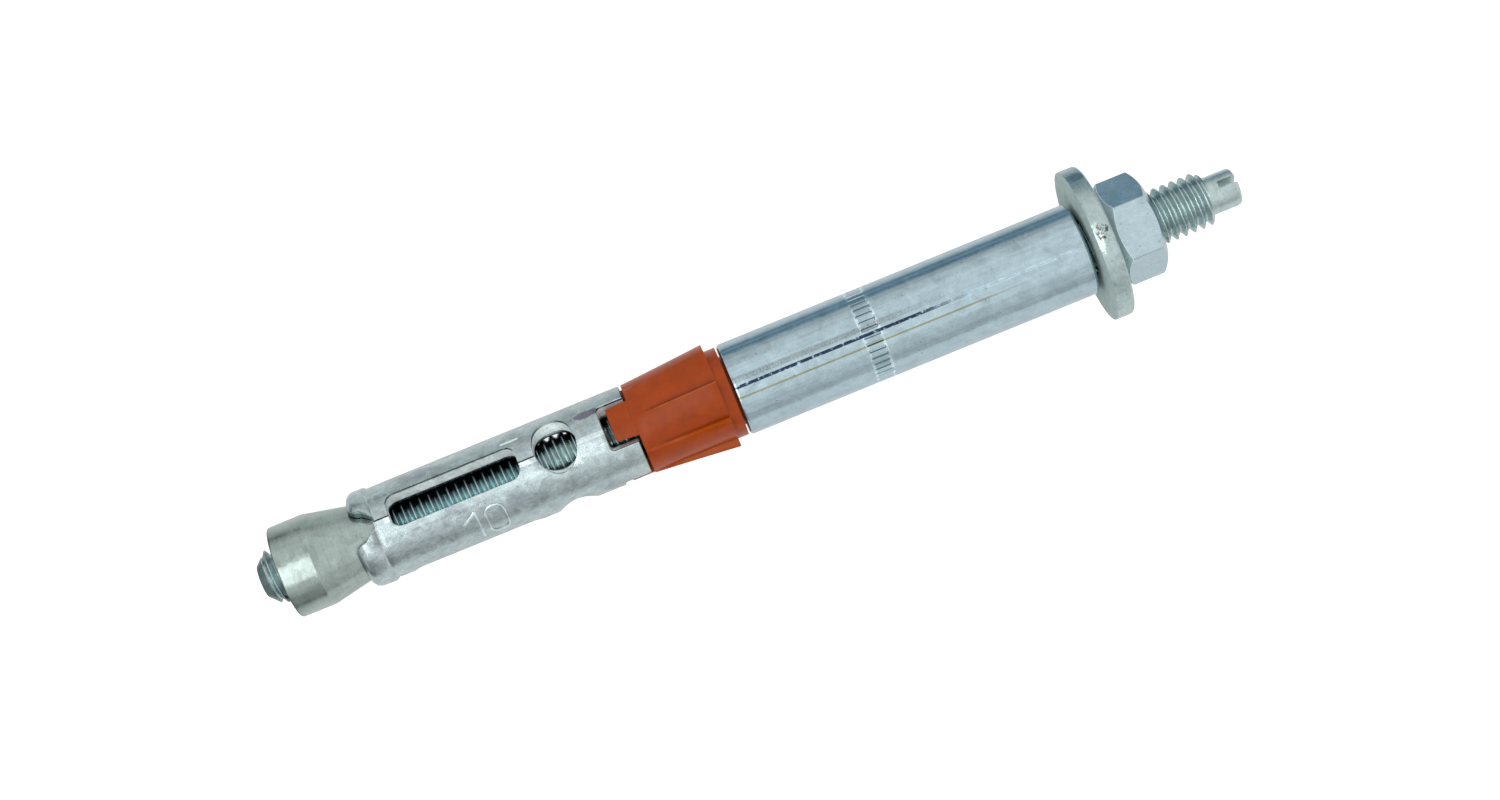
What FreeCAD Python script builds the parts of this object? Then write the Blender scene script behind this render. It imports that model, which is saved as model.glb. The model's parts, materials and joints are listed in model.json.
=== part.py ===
"""Cone-and-sleeve anchor, M6 thread, for a 10 mm hole, lying on its side.

Every piece is turned or cut about one common axis, X, and the finished anchor is then laid down
on its washer's rim and its cone's rim. x = 0 is the washer's face towards the tube, and +X points
to the nut. Angles turn about +X, from straight up. Sizes are in millimetres and degrees.
"""
import FreeCAD, Part
import math
import os
from FreeCAD import Vector, Rotation, Placement

# Thread and running clearances
thread_diameter = 6.0
thread_fit = 0.02
nut_fit = 0.05
snug_fit = 0.02
cone_fit = 0.03

# Stud: a rod threaded all along, with a plain slotted tip
tail_length = 2.45
tail_chamfer = 1.27
thread_standout = 6.25
tip_length = 3.4
tip_diameter = 4.12
tip_chamfer = 0.5
slot_depth = 2.1
slot_width = 0.8
slot_turn = -22.0

# Cone: a conical nut that spreads the fingers
cone_diameter = 10.0
cone_band_length = 3.75
cone_taper_length = 7.8
cone_angle = 11.8
cone_standout = 4.4
cone_edge = 0.2

# Expansion sleeve: a rolled steel piece, the same three times round
sleeve_diameter = 9.85
sleeve_bore = 6.4
sleeve_length = 31.1
finger_count = 3
finger_turn = -16.5
bead_height = 0.22
bead_length = 2.7
bead_round = 1.0
crease_depth = 0.07
crease_width = 0.3
gap_depth = 2.2
gap_root_width = 1.4
gap_mouth_width = 3.3
gap_corner = 1.0
slit_width = 0.15
punch_turn = -5.0
window_from_tip = 4.5
window_width = 3.85
window_corner = 1.1
window_to_hole = 1.8
hole_from_front = 5.9
hole_length = 4.6
hole_width = 6.4
keyway_depth = 3.0
keyway_width = 5.35
keyway_corner = 0.5

# Collar: moulded plastic, keyed into the sleeve and pushed into the tube
collar_gap = 0.3
collar_body_diameter = 9.8
collar_bore = 6.2
fin_length = 9.3
fin_count = 8
fin_turn = 30.0
fin_ridge_diameter = 11.8
fin_valley_diameter = 9.9
fin_start_step = 0.06
ring_diameter = 9.74
ring_length = 1.2
ring_gap = 0.2
spigot_length = 4.0
tab_diameter = 9.6
tab_end_gap = 0.9
tab_side_gap = 0.6

# Distance tube
tube_diameter = 10.0
tube_bore = 7.6
tube_length = 39.3
tube_edge = 0.3

# Washer
washer_diameter = 16.6
washer_thickness = 2.0
washer_clearance = 0.6
washer_edge = 0.4
washer_slack = 0.52

# Hexagon nut
nut_across_flats = 9.9
nut_height = 4.75
nut_crown = 10.0
nut_face_diameter = 9.0
nut_corner_round = 0.3
nut_mouth = 0.25
nut_slack = 0.6
nut_turn = 3.5

# How finely small round edges are stepped, and how far cutters reach past what they cut
round_steps = 3
punch_overrun = 0.05
fin_overrun = 2.0

# Places along the axis, from the washer towards the buried end and then to the free end
washer_face = 0.0
tube_front = washer_face - washer_slack
tube_back = tube_front - tube_length
ring_front = tube_back - ring_gap
ring_back = ring_front - ring_length
fins_back = ring_back - fin_length
sleeve_front = fins_back - collar_gap
sleeve_tip = sleeve_front - sleeve_length
cone_shoulder = sleeve_tip - cone_standout
cone_back = cone_shoulder - cone_band_length
cone_front = cone_shoulder + cone_taper_length
stud_tail = cone_back - tail_length
washer_front = washer_face + washer_thickness
nut_back = washer_front + nut_slack
nut_front = nut_back + nut_height
thread_end = nut_front + thread_standout
stud_tip = thread_end + tip_length

# Radii that more than one piece uses
thread_radius = thread_diameter / 2
sleeve_radius = sleeve_diameter / 2
cone_radius = cone_diameter / 2
washer_radius = washer_diameter / 2
taper_slope = math.tan(math.radians(cone_angle))
AXIS = Vector(1, 0, 0)
ORIGIN = Vector(0, 0, 0)


def point(x, radius):
    """A point of a turned outline: x along the axis, radius away from it."""
    return Vector(x, 0, radius)


def line(a, b):
    return Part.LineSegment(a, b).toShape()


def arc(a, middle, b):
    return Part.Arc(a, middle, b).toShape()


def round_points(x, radius, size, way):
    """Points of a small round edge on a turned outline, in order along +x. way is 1 where the
    piece ends towards +x and -1 where it ends towards -x."""
    points = []
    for i in range(round_steps + 1):
        angle = math.pi / 2 * i / round_steps
        if way < 0:
            angle = math.pi / 2 - angle
        points.append((x - way * size * (1 - math.sin(angle)),
                       radius - size * (1 - math.cos(angle))))
    return points


def turned(outline):
    """A solid turned from a closed outline of (x, radius) points."""
    corners = [point(x, radius) for x, radius in outline]
    face = Part.Face(Part.makePolygon(corners + corners[:1]))
    return face.revolve(ORIGIN, AXIS, 360)


def sector(start, end, inner, outer, degrees):
    """A slice of a ring from start to end along the axis, centred on straight up."""
    corners = [point(start, inner), point(start, outer), point(end, outer), point(end, inner)]
    face = Part.Face(Part.makePolygon(corners + corners[:1]))
    return turn(face.revolve(ORIGIN, AXIS, degrees), -degrees / 2)


def rod(radius, start, end):
    return Part.makeCylinder(radius, end - start, Vector(start, 0, 0), AXIS)


def turn(shape, degrees):
    """A copy turned about the common axis."""
    return shape.rotated(ORIGIN, AXIS, degrees)


def around(shape, count, first=0.0):
    """Copies of a shape spread evenly about the axis."""
    return [turn(shape, first + 360.0 * i / count) for i in range(count)]


def span(width, radius):
    """The angle that a width along a surface of this radius takes up."""
    return math.degrees(width / radius)


def radial_edges(shape, x):
    """The edges that point away from the axis at this x."""
    found = []
    for edge in shape.Edges:
        a, b = [vertex.Point for vertex in edge.Vertexes]
        level = abs(a.x - x) < 1e-6 and abs(b.x - x) < 1e-6
        if level and (b - a).cross(Vector(0, a.y, a.z)).Length < 1e-6:
            found.append(edge)
    return found


def punch(start, end, width, corner, round_ends):
    """A cutter for an opening in the sleeve's wall. Its walls point at the axis, as in a strip
    that was punched flat and then rolled."""
    inner = sleeve_bore / 2 - punch_overrun
    outer = sleeve_radius + bead_height + punch_overrun
    degrees = span(width, sleeve_radius)
    block = sector(start, end, inner, outer, degrees)
    size = min(corner, 0.48 * inner * math.radians(degrees))
    edges = []
    for x in round_ends:
        edges += radial_edges(block, x)
    return block.makeFillet(size, edges)


def oval_punch(middle, length, width):
    """A cutter for a round opening, stretched round the sleeve by the rolling."""
    ends = []
    for share in (0.45, 1.35):
        half = share * sleeve_radius * math.tan(width / 2 / sleeve_radius)
        stretch = FreeCAD.Matrix()
        stretch.scale(Vector(1, half / (length / 2), 1))
        ring = Part.Circle(ORIGIN, Vector(0, 0, 1), length / 2).toShape()
        oval = ring.transformGeometry(stretch)
        oval.translate(Vector(middle, 0, share * sleeve_radius))
        ends.append(Part.Wire(oval.Edges))
    return Part.makeLoft(ends, True, True)


def make_stud():
    tip_radius = tip_diameter / 2
    stud = turned([
        (stud_tail, 0),
        (stud_tail, thread_radius - tail_chamfer),
        (stud_tail + tail_chamfer, thread_radius),
        (thread_end, thread_radius),
        (thread_end, tip_radius),
        (stud_tip - tip_chamfer, tip_radius),
        (stud_tip, tip_radius - tip_chamfer),
        (stud_tip, 0),
    ])
    slot = Part.makeBox(2 * slot_depth, slot_width, tip_diameter,
                        Vector(stud_tip - slot_depth, -slot_width / 2, -tip_radius))
    return stud.cut(turn(slot, slot_turn))


def make_cone():
    front_radius = cone_radius - cone_taper_length * taper_slope
    return turned([
        (cone_back, thread_radius + thread_fit),
        (cone_back, cone_radius - cone_edge),
        (cone_back + cone_edge, cone_radius),
        (cone_shoulder, cone_radius),
        (cone_front, front_radius),
        (cone_front, thread_radius + thread_fit),
    ])


def sleeve_blank():
    """The rolled sleeve before it is slit: beaded tip, crease, straight body and flared bore."""
    bead_radius = sleeve_radius + bead_height
    bore_radius = sleeve_bore / 2
    tip_bore = cone_radius - cone_standout * taper_slope + cone_fit
    flare_end = sleeve_tip + (tip_bore - bore_radius) / taper_slope
    bead_end = sleeve_tip + bead_length
    tip = round_points(sleeve_tip, bead_radius, bead_round, -1)
    return turned([(sleeve_tip, tip_bore)] + tip + [
        (bead_end - bead_round / 2, bead_radius),
        (bead_end, sleeve_radius - crease_depth),
        (bead_end + crease_width, sleeve_radius),
        (sleeve_front, sleeve_radius),
        (sleeve_front, bore_radius),
        (flare_end, bore_radius),
    ])


def finger_gap():
    """A cutter for the opening between two fingers' tips: a narrow root, slanting flanks and
    round corners."""
    root = sleeve_tip + gap_depth
    outside = sleeve_tip - gap_corner
    flank_end = sleeve_tip + gap_corner
    mouth = gap_mouth_width / 2
    wide = mouth + gap_corner
    slant = gap_corner * math.sqrt(0.5)
    halves = []
    for side in (1, -1):
        flank = Vector(flank_end, side * mouth, 0)
        middle = Vector(flank_end - slant, side * (wide - slant), 0)
        tip = Vector(sleeve_tip, side * wide, 0)
        halves.append([
            line(Vector(root, side * gap_root_width / 2, 0), flank),
            arc(flank, middle, tip),
            line(tip, Vector(outside, side * wide, 0)),
        ])
    ends = [
        line(Vector(root, -gap_root_width / 2, 0), Vector(root, gap_root_width / 2, 0)),
        line(Vector(outside, wide, 0), Vector(outside, -wide, 0)),
    ]
    edges = Part.__sortEdges__(halves[0] + halves[1] + ends)
    return Part.Face(Part.Wire(edges)).extrude(Vector(0, 0, sleeve_diameter))


def make_sleeve():
    hole_end = sleeve_front - hole_from_front
    hole_middle = hole_end - hole_length / 2
    window_start = sleeve_tip + window_from_tip
    window_end = hole_end - hole_length - window_to_hole
    keyway_end = sleeve_front - keyway_depth
    slit = Part.makeBox(hole_middle - sleeve_tip, slit_width, sleeve_diameter,
                        Vector(sleeve_tip, -slit_width / 2, 0))
    window = punch(window_start, window_end, window_width, window_corner,
                   (window_start, window_end))
    hole = oval_punch(hole_middle, hole_length, hole_width)
    keyway = punch(keyway_end, sleeve_front + punch_overrun, keyway_width, keyway_corner,
                   (keyway_end,))
    cutters = []
    for cutter, offset in ((slit, 0), (finger_gap(), 0), (keyway, 0),
                           (window, punch_turn), (hole, punch_turn)):
        cutters += around(cutter, finger_count, finger_turn + offset)
    return sleeve_blank().cut(cutters)


def fin(index):
    """One saw-tooth fin: it stands highest at its ridge and falls away to the next one. It is a
    slice of a cone that leans over towards the ridge."""
    step = 360.0 / fin_count
    lean = 2 * math.sin(math.radians(step / 2))
    ridge = fin_ridge_diameter / 2
    valley = fin_valley_diameter / 2
    back_radius = collar_body_diameter / 2
    front_radius = (ridge + valley) / 2
    back = Vector(fins_back, fin_start_step / lean, 0)
    front = Vector(ring_back, (ridge - valley) / lean, 0)
    way = Vector(front - back).normalize()
    run = (front - back).Length
    more = (front_radius - back_radius) * fin_overrun / run
    body = Part.makeCone(back_radius - more, front_radius + more, run + 2 * fin_overrun,
                         back - way * fin_overrun, way)
    piece = sector(fins_back, ring_back, collar_bore / 2, 2 * ridge, step).common(body)
    return turn(piece, fin_turn + step / 2 + index * step)


def make_collar():
    bore_radius = collar_bore / 2
    tab_end = sleeve_front - keyway_depth + tab_end_gap
    tab = sector(tab_end, fins_back + ring_length, bore_radius, tab_diameter / 2,
                 span(keyway_width - 2 * tab_side_gap, sleeve_radius))
    spigot_end = tube_back + spigot_length
    pieces = [fin(index) for index in range(1, fin_count)]
    pieces += around(tab, finger_count, finger_turn)
    pieces.append(rod(ring_diameter / 2, ring_back, ring_front))
    pieces.append(rod(tube_bore / 2 - snug_fit, ring_front, spigot_end))
    bore = rod(bore_radius, tab_end, spigot_end)
    return fin(0).fuse(pieces).cut(bore).removeSplitter()


def make_tube():
    outer = tube_diameter / 2
    return turned([
        (tube_back, tube_bore / 2),
        (tube_back, outer - tube_edge),
        (tube_back + tube_edge, outer),
        (tube_front - tube_edge, outer),
        (tube_front, outer - tube_edge),
        (tube_front, tube_bore / 2),
    ])


def make_washer():
    hole = (thread_diameter + washer_clearance) / 2
    return turned([(washer_face, hole), (washer_face, washer_radius)]
                  + round_points(washer_front, washer_radius, washer_edge, 1)
                  + [(washer_front, hole)])


def make_nut():
    """A hexagon with rounded corners, its ends crowned, and a bore with countersunk mouths."""
    corner_radius = nut_across_flats / math.sqrt(3)
    corners = []
    for i in range(7):
        angle = math.radians(30 + 60 * i)
        corners.append(Vector(nut_back, corner_radius * math.sin(angle),
                              corner_radius * math.cos(angle)))
    nut = Part.Face(Part.makePolygon(corners)).extrude(Vector(nut_height, 0, 0))
    upright = [edge for edge in nut.Edges if abs(edge.Length - nut_height) < 1e-6]
    nut = nut.makeFillet(nut_corner_round, upright)
    crown_reach = math.sqrt(nut_crown ** 2 - (nut_face_diameter / 2) ** 2)
    for middle in (nut_front - crown_reach, nut_back + crown_reach):
        nut = nut.common(Part.makeSphere(nut_crown, Vector(middle, 0, 0), AXIS))
    bore_radius = thread_radius + nut_fit
    bore = turned([
        (nut_back, 0),
        (nut_back, bore_radius + nut_mouth),
        (nut_back + nut_mouth, bore_radius),
        (nut_front - nut_mouth, bore_radius),
        (nut_front, bore_radius + nut_mouth),
        (nut_front, 0),
    ])
    return turn(nut.cut(bore), nut_turn)


def lying_down():
    """Turns the axis down onto the washer's rim and the cone's rim, and centres it on its length."""
    tilt = math.atan2(washer_radius - cone_radius, washer_face - cone_back)
    middle = (stud_tail + stud_tip) / 2
    rotation = Rotation(Vector(0, 1, 0), -math.degrees(tilt))
    base = rotation.multVec(Vector(-middle, 0, 0))
    lift = washer_radius * math.cos(tilt) - washer_face * math.sin(tilt)
    return Placement(Vector(base.x, 0, lift), rotation)


def make_parts():
    return {
        "threaded_stud": make_stud(),
        "cone": make_cone(),
        "expansion_sleeve": make_sleeve(),
        "collar": make_collar(),
        "distance_tube": make_tube(),
        "washer": make_washer(),
        "hex_nut": make_nut(),
    }


def main():
    os.makedirs("parts", exist_ok=True)
    rest = lying_down()
    for name, shape in make_parts().items():
        placed = shape.transformed(rest.toMatrix())
        placed.exportStep("parts/" + name + ".step")
        print(name, "solids", len(shape.Solids), "valid", shape.isValid(),
              "volume", round(shape.Volume, 2))


main()
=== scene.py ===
"""The look of a cone-and-sleeve anchor that lies on its side: its seven pieces as finished meshes,
their materials, and a plain white studio. Every piece is modelled about the X axis, with x = 0 at
the washer's face towards the tube and +X towards the nut. It is then laid down where the frame
has it. Angles turn about +X, from straight up. Sizes are in metres."""
import bpy
import json
import math
from bpy.props import FloatProperty, FloatVectorProperty, IntProperty, PointerProperty
from mathutils import Matrix, Vector


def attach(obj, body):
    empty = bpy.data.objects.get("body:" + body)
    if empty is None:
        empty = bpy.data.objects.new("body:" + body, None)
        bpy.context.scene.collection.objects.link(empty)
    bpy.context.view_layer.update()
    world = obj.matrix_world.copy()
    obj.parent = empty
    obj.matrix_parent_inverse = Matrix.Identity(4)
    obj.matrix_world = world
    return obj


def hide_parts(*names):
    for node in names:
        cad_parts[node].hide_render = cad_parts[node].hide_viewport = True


bl_info = {
    "name": "Cone and sleeve anchor",
    "version": (1, 0, 0),
    "blender": (4, 5, 0),
    "location": "View3D > Sidebar > Anchor",
    "description": "Builds a heavy-duty anchor bolt with its sleeve, collar, tube, washer and nut",
    "category": "Add Mesh",
}

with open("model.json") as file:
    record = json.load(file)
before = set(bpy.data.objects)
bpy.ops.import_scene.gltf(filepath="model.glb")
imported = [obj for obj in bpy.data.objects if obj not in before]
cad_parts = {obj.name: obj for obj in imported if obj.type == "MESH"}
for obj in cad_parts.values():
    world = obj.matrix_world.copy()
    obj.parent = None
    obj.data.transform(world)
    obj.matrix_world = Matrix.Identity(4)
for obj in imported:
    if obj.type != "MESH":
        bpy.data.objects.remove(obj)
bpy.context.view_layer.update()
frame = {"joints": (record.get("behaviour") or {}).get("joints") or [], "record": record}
MM = 0.001
# Points closer than TINY are one point. The two ends of the rolled strip meet within SEAM_GAP.
TINY = 1e-7
SEAM_GAP = 1e-6
# How far a cutter reaches beyond the piece that it cuts.
BEYOND = 1.0 * MM
# A face stands upright to an axis where its normal's share along it is below this.
UPRIGHT = 0.5
# Steps round the corner of a punched outline.
CORNER_STEPS = 6
# Turns that a thread has to spare beyond its rod's ends, where it is then cut off, and how far its
# crests and roots are rounded, as a share of its depth.
SPARE_TURNS = 2
THREAD_ROUNDING = 0.06
# Where the stem of the 1 stands and where its flag ends, and the corners of the 0, as shares of
# the figure's width, half height and width.
ONE_STEM, ONE_FLAG, NOUGHT_CORNER = 0.75, 0.42, 0.42
# Points of the tube's worn ends, along and inwards, as shares of the edge's size.
TUBE_EDGE = ((0.0, 1.0), (0.5, 0.22), (1.2, 0.0))
# Steps round the tube for each mark of its ring. The first half of them is pressed in.
KNURL_STEPS = 4
# More than the area of a face in the nut's rounded corners, and less than that of a flat.
LEAST_FLAT = 10 * MM * MM
# Radii at which the nut's domed ends have a ring of points, outside its flat face.
CROWN_RINGS = (4.8 * MM, 5.1 * MM, 5.4 * MM, 5.75 * MM)
# What a dull face adds to the metal's roughness, and how much less it looks like metal.
DULL_ROUGHNESS = 0.35
DULL_SHARE = 0.6
# Half the width of the floor, in metres.
FLOOR = 3.0


def seat_placement():
    """Where the washer's face lies in the frame, and how the anchor's axis is tilted there."""
    seat = [m for m in frame["record"]["mounts"] if m["name"] == "fixture_seat"][0]
    slide = [j for j in frame["joints"] if j["name"] == "bolt_slide"][0]
    tilt = math.atan2(slide["axis"][2], slide["axis"][0])
    return Vector(seat["pos_m"]), tilt


SEAT, TILT = seat_placement()
REST = Matrix.Translation(SEAT) @ Matrix.Rotation(-TILT, 4, "Y")


def srgb(code):
    """A linear colour from an sRGB hex code."""
    channels = [int(code[i:i + 2], 16) / 255 for i in (1, 3, 5)]
    return [c / 12.92 if c <= 0.04045 else ((c + 0.055) / 1.055) ** 2.4 for c in channels]


def length(name, description, mm):
    return FloatProperty(name=name, description=description, default=mm * MM, unit="LENGTH")


def angle(name, description, degrees):
    return FloatProperty(name=name, description=description, default=math.radians(degrees),
                         unit="ROTATION")


def number(name, description, value):
    return FloatProperty(name=name, description=description, default=value)


def count(name, description, value):
    return IntProperty(name=name, description=description, default=value, min=1)


def colour(name, description, code):
    return FloatVectorProperty(name=name, description=description, default=srgb(code),
                               subtype="COLOR", size=3)


class LayoutSizes(bpy.types.PropertyGroup):
    """Places along the axis that more than one piece uses."""
    stud_tail: length("Stud tail", "Buried end of the stud", -92.52)
    cone_back: length("Cone back", "Buried face of the cone", -90.07)
    cone_shoulder: length("Cone shoulder", "Where the cone's band ends", -86.32)
    sleeve_tip: length("Sleeve tip", "End of the fingers", -81.92)
    cone_front: length("Cone front", "Thin end of the cone, inside the sleeve", -78.52)
    sleeve_front: length("Sleeve front", "End of the sleeve at the collar", -50.82)
    fins_back: length("Fins back", "Low end of the collar's fins", -50.52)
    ring_back: length("Ring back", "High end of the fins, where the ring starts", -41.22)
    ring_front: length("Ring front", "End of the collar's ring", -40.02)
    tube_back: length("Tube back", "Tube's end at the collar", -39.82)
    tube_front: length("Tube front", "Tube's end at the washer", -0.52)
    washer_front: length("Washer front", "Washer's face towards the nut", 2.0)
    nut_back: length("Nut back", "Nut's face towards the washer", 2.6)
    nut_front: length("Nut front", "Nut's outer face", 7.35)
    thread_end: length("Thread end", "Last crest at the free end", 13.6)
    stud_tip: length("Stud tip", "Free end of the stud", 17.0)


class StudSizes(bpy.types.PropertyGroup):
    """The threaded stud. Its ends are in the layout."""
    crest_radius: length("Crest radius", "Outer radius of the M6 thread", 3.0)
    root_radius: length("Root radius", "Radius at the bottom of the thread", 2.39)
    pitch: length("Pitch", "Distance from crest to crest", 1.0)
    crest_flat: length("Crest flat", "Width of a crest", 0.12)
    root_flat: length("Root flat", "Width of a root", 0.2)
    phase: length("Thread start", "Where a crest passes straight up", 0.0)
    steps: count("Steps", "Steps round one turn of the thread", 48)
    tail_chamfer: length("Tail chamfer", "Chamfer at the buried end", 1.27)
    run_out: length("Run-out", "Chamfer where the thread ends at the tip", 0.45)
    tip_radius: length("Tip radius", "Radius of the plain tip", 2.06)
    tip_chamfer: length("Tip chamfer", "Chamfer of the plain tip", 0.5)
    slot_depth: length("Slot depth", "Depth of the screwdriver slot", 2.1)
    slot_width: length("Slot width", "Width of the screwdriver slot", 0.8)
    slot_turn: angle("Slot turn", "Turn of the slot about the axis", -22.0)
    zinc: colour("Zinc", "Colour of the plated thread", "#B2C4C5")


class ConeSizes(bpy.types.PropertyGroup):
    """The conical nut at the buried end."""
    radius: length("Radius", "Radius of the cone's band", 5.0)
    taper: angle("Taper", "Half angle of the cone", 11.8)
    edge: length("Edge", "Rounded edge of the cone's back", 0.22)
    shoulder_round: length("Shoulder round", "Half the length in which band turns to taper", 0.06)
    shoulder_drop: length("Shoulder drop", "How far the taper starts inside the band", 0.012)
    thread_gap: length("Thread gap", "Running clearance of the thread", 0.02)
    steel: colour("Steel", "Colour of the plated cone", "#A1AFAA")


class SleeveSizes(bpy.types.PropertyGroup):
    """The rolled sleeve, its fingers, openings and figures."""
    radius: length("Radius", "Outer radius of the rolled sleeve", 4.925)
    bore_radius: length("Bore radius", "Inner radius of the rolled sleeve", 3.2)
    cone_gap: length("Cone gap", "Room between the flared fingers and the cone", 0.03)
    slices: count("Slices", "Slices across the strip before it is rolled", 120)
    row: length("Row", "Length of the rows of faces behind the tips", 1.3)
    fingers: count("Fingers", "Number of fingers round the sleeve", 3)
    finger_turn: angle("Finger turn", "Turn of the first slit", -16.5)
    bead_height: length("Bead height", "How far the beaded tips stand out", 0.22)
    bead_length: length("Bead length", "Length of the beaded tips", 2.7)
    bead_round: length("Bead round", "Rounding of the fingers' tips", 1.0)
    crease_depth: length("Crease depth", "Depth of the crease behind the bead", 0.05)
    crease_width: length("Crease width", "Width of the crease behind the bead", 0.55)
    gap_depth: length("Gap depth", "Depth of the opening between two fingers' tips", 2.75)
    gap_root_width: length("Gap root width", "Width of that opening at its root", 1.3)
    gap_mouth_width: length("Gap mouth width", "Width of that opening at its mouth", 3.5)
    gap_corner: length("Gap corner", "Rounding of the fingers' corners", 1.35)
    gap_round: length("Gap edge", "Rounded outer edge of that opening", 0.35)
    slit_width: length("Slit width", "Width of the slits", 0.15)
    set_back: length("Set-back", "How much further back the upper finger's tip ends", 0.5)
    slit_flat: length("Slit flat", "Steel beside a slit that stays flat in the rolled sheet", 0.65)
    punch_turn: angle("Punch turn", "Turn of windows and holes from the slits", -5.0)
    window_from_tip: length("Window from tip", "From the tips to the windows", 4.5)
    window_width: length("Window width", "Width of a window along the surface", 3.85)
    window_corner: length("Window corner", "Corner radius of a window", 1.15)
    window_to_hole: length("Window to hole", "Steel left between window and hole", 1.8)
    hole_from_front: length("Hole from front", "From the sleeve's front to the holes", 5.9)
    hole_length: length("Hole length", "Length of a hole along the axis", 4.6)
    hole_width: length("Hole width", "Width of a hole along the surface", 6.4)
    punch_round: length("Punched edge", "Rounded outer edge of windows and holes", 0.42)
    keyway_depth: length("Keyway depth", "Depth of the keyways for the collar's tabs", 3.0)
    keyway_width: length("Keyway width", "Width of a keyway along the surface", 5.35)
    keyway_corner: length("Keyway corner", "Corner radius of a keyway", 0.5)
    small_edge: length("Small edge", "Rounding of slits, keyways and ends", 0.1)
    figure_start: length("Figure start", "Where the embossed hole size starts", -70.9)
    figure_turn: angle("Figure turn", "Turn of the middle of the figures", 38.5)
    figure_height: length("Figure height", "Height of the figures along the surface", 3.6)
    figure_width: length("Figure width", "Width of a figure", 2.3)
    figure_step: length("Figure step", "From one figure to the next", 2.5)
    figure_stroke: length("Figure stroke", "Width of a figure's line", 0.28)
    figure_relief: length("Figure relief", "How far the figures stand out", 0.13)
    figure_sink: length("Figure sink", "How far the figures reach into the sheet", 0.3)
    zinc: colour("Zinc", "Colour of the plated sleeve", "#B6C5C7")


class CollarSizes(bpy.types.PropertyGroup):
    """The moulded collar, its fins, ring, spigot and tabs."""
    bore_radius: length("Bore radius", "Inner radius of the collar", 3.1)
    body_radius: length("Body radius", "Radius at the low end of the fins", 4.9)
    ridge_radius: length("Ridge radius", "Radius of a fin's ridge at its high end", 5.9)
    valley_radius: length("Valley radius", "Radius of a fin's valley at its high end", 4.95)
    start_step: length("Start step", "Height of the step at the low end", 0.06)
    fins: count("Fins", "Number of saw-tooth fins", 8)
    fin_turn: angle("Fin turn", "Turn of the first ridge", 30.0)
    fin_steps: count("Fin steps", "Steps across one fin", 24)
    fin_rows: count("Fin rows", "Rows of faces along a fin", 8)
    ring_radius: length("Ring radius", "Radius of the ring", 4.87)
    spigot_radius: length("Spigot radius", "Radius of the spigot inside the tube", 3.78)
    spigot_length: length("Spigot length", "Length of the spigot", 4.0)
    tab_radius: length("Tab radius", "Outer radius of a tab", 4.8)
    tab_end_gap: length("Tab end gap", "Room beyond a tab in its keyway", 0.9)
    tab_side_gap: length("Tab side gap", "Room beside a tab in its keyway", 0.6)
    tab_taper: number("Tab taper", "Width of a tab's end against its root", 0.92)
    edge: length("Edge", "Rounded edges of the moulding", 0.12)
    edge_angle: angle("Edge angle", "Only edges that are bent by more than this are rounded", 50.0)
    plastic: colour("Plastic", "Colour of the plastic", "#963B09")


class TubeSizes(bpy.types.PropertyGroup):
    """The distance tube and its ring of short marks."""
    radius: length("Radius", "Outer radius of the tube", 5.0)
    bore_radius: length("Bore radius", "Inner radius of the tube", 3.8)
    edge: length("Edge", "Chamfers at the tube's ends", 0.3)
    knurl_start: length("Knurl start", "Start of the ring of short marks", -25.5)
    knurl_length: length("Knurl length", "Length of the marks", 1.9)
    knurl_depth: length("Knurl depth", "Depth of the marks", 0.17)
    knurl_count: count("Knurl count", "Number of marks round the tube", 40)
    knurl_rim: length("Knurl rim", "Flat rim beside a mark", 0.03)
    knurl_slope: length("Knurl slope", "Width of a mark's sloping sides", 0.08)
    dark_line_turn: angle("Seam turn", "Turn of the dark line along the tube", -0.5)
    zinc: colour("Zinc", "Colour of the plated tube", "#ADC2CA")


class WasherSizes(bpy.types.PropertyGroup):
    """The thick washer."""
    radius: length("Radius", "Outer radius of the washer", 8.3)
    hole_radius: length("Hole radius", "Radius of the hole", 3.3)
    front_round: length("Front edge", "Rounded edge on the nut's side", 0.4)
    back_round: length("Back edge", "Small edge on the tube's side", 0.08)
    zinc: colour("Zinc", "Colour of the plated washer", "#AFC2C1")


class NutSizes(bpy.types.PropertyGroup):
    """The hexagon nut."""
    across_flats: length("Across flats", "Width across the nut's flats", 9.9)
    corner_round: length("Corner round", "How far a corner's rounding reaches along a flat", 0.18)
    face_radius: length("Face radius", "Radius of the flat face", 4.5)
    crown: length("Crown", "Radius of the crowned ends", 10.0)
    mouth_radius: length("Mouth radius", "Radius of the countersunk mouths of its bore", 3.2)
    thread_gap: length("Thread gap", "Running clearance of the thread", 0.05)
    turn: angle("Turn", "Turn of the nut about the axis", 3.5)
    zinc: colour("Zinc", "Colour of the plated nut", "#AFC3CA")


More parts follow.
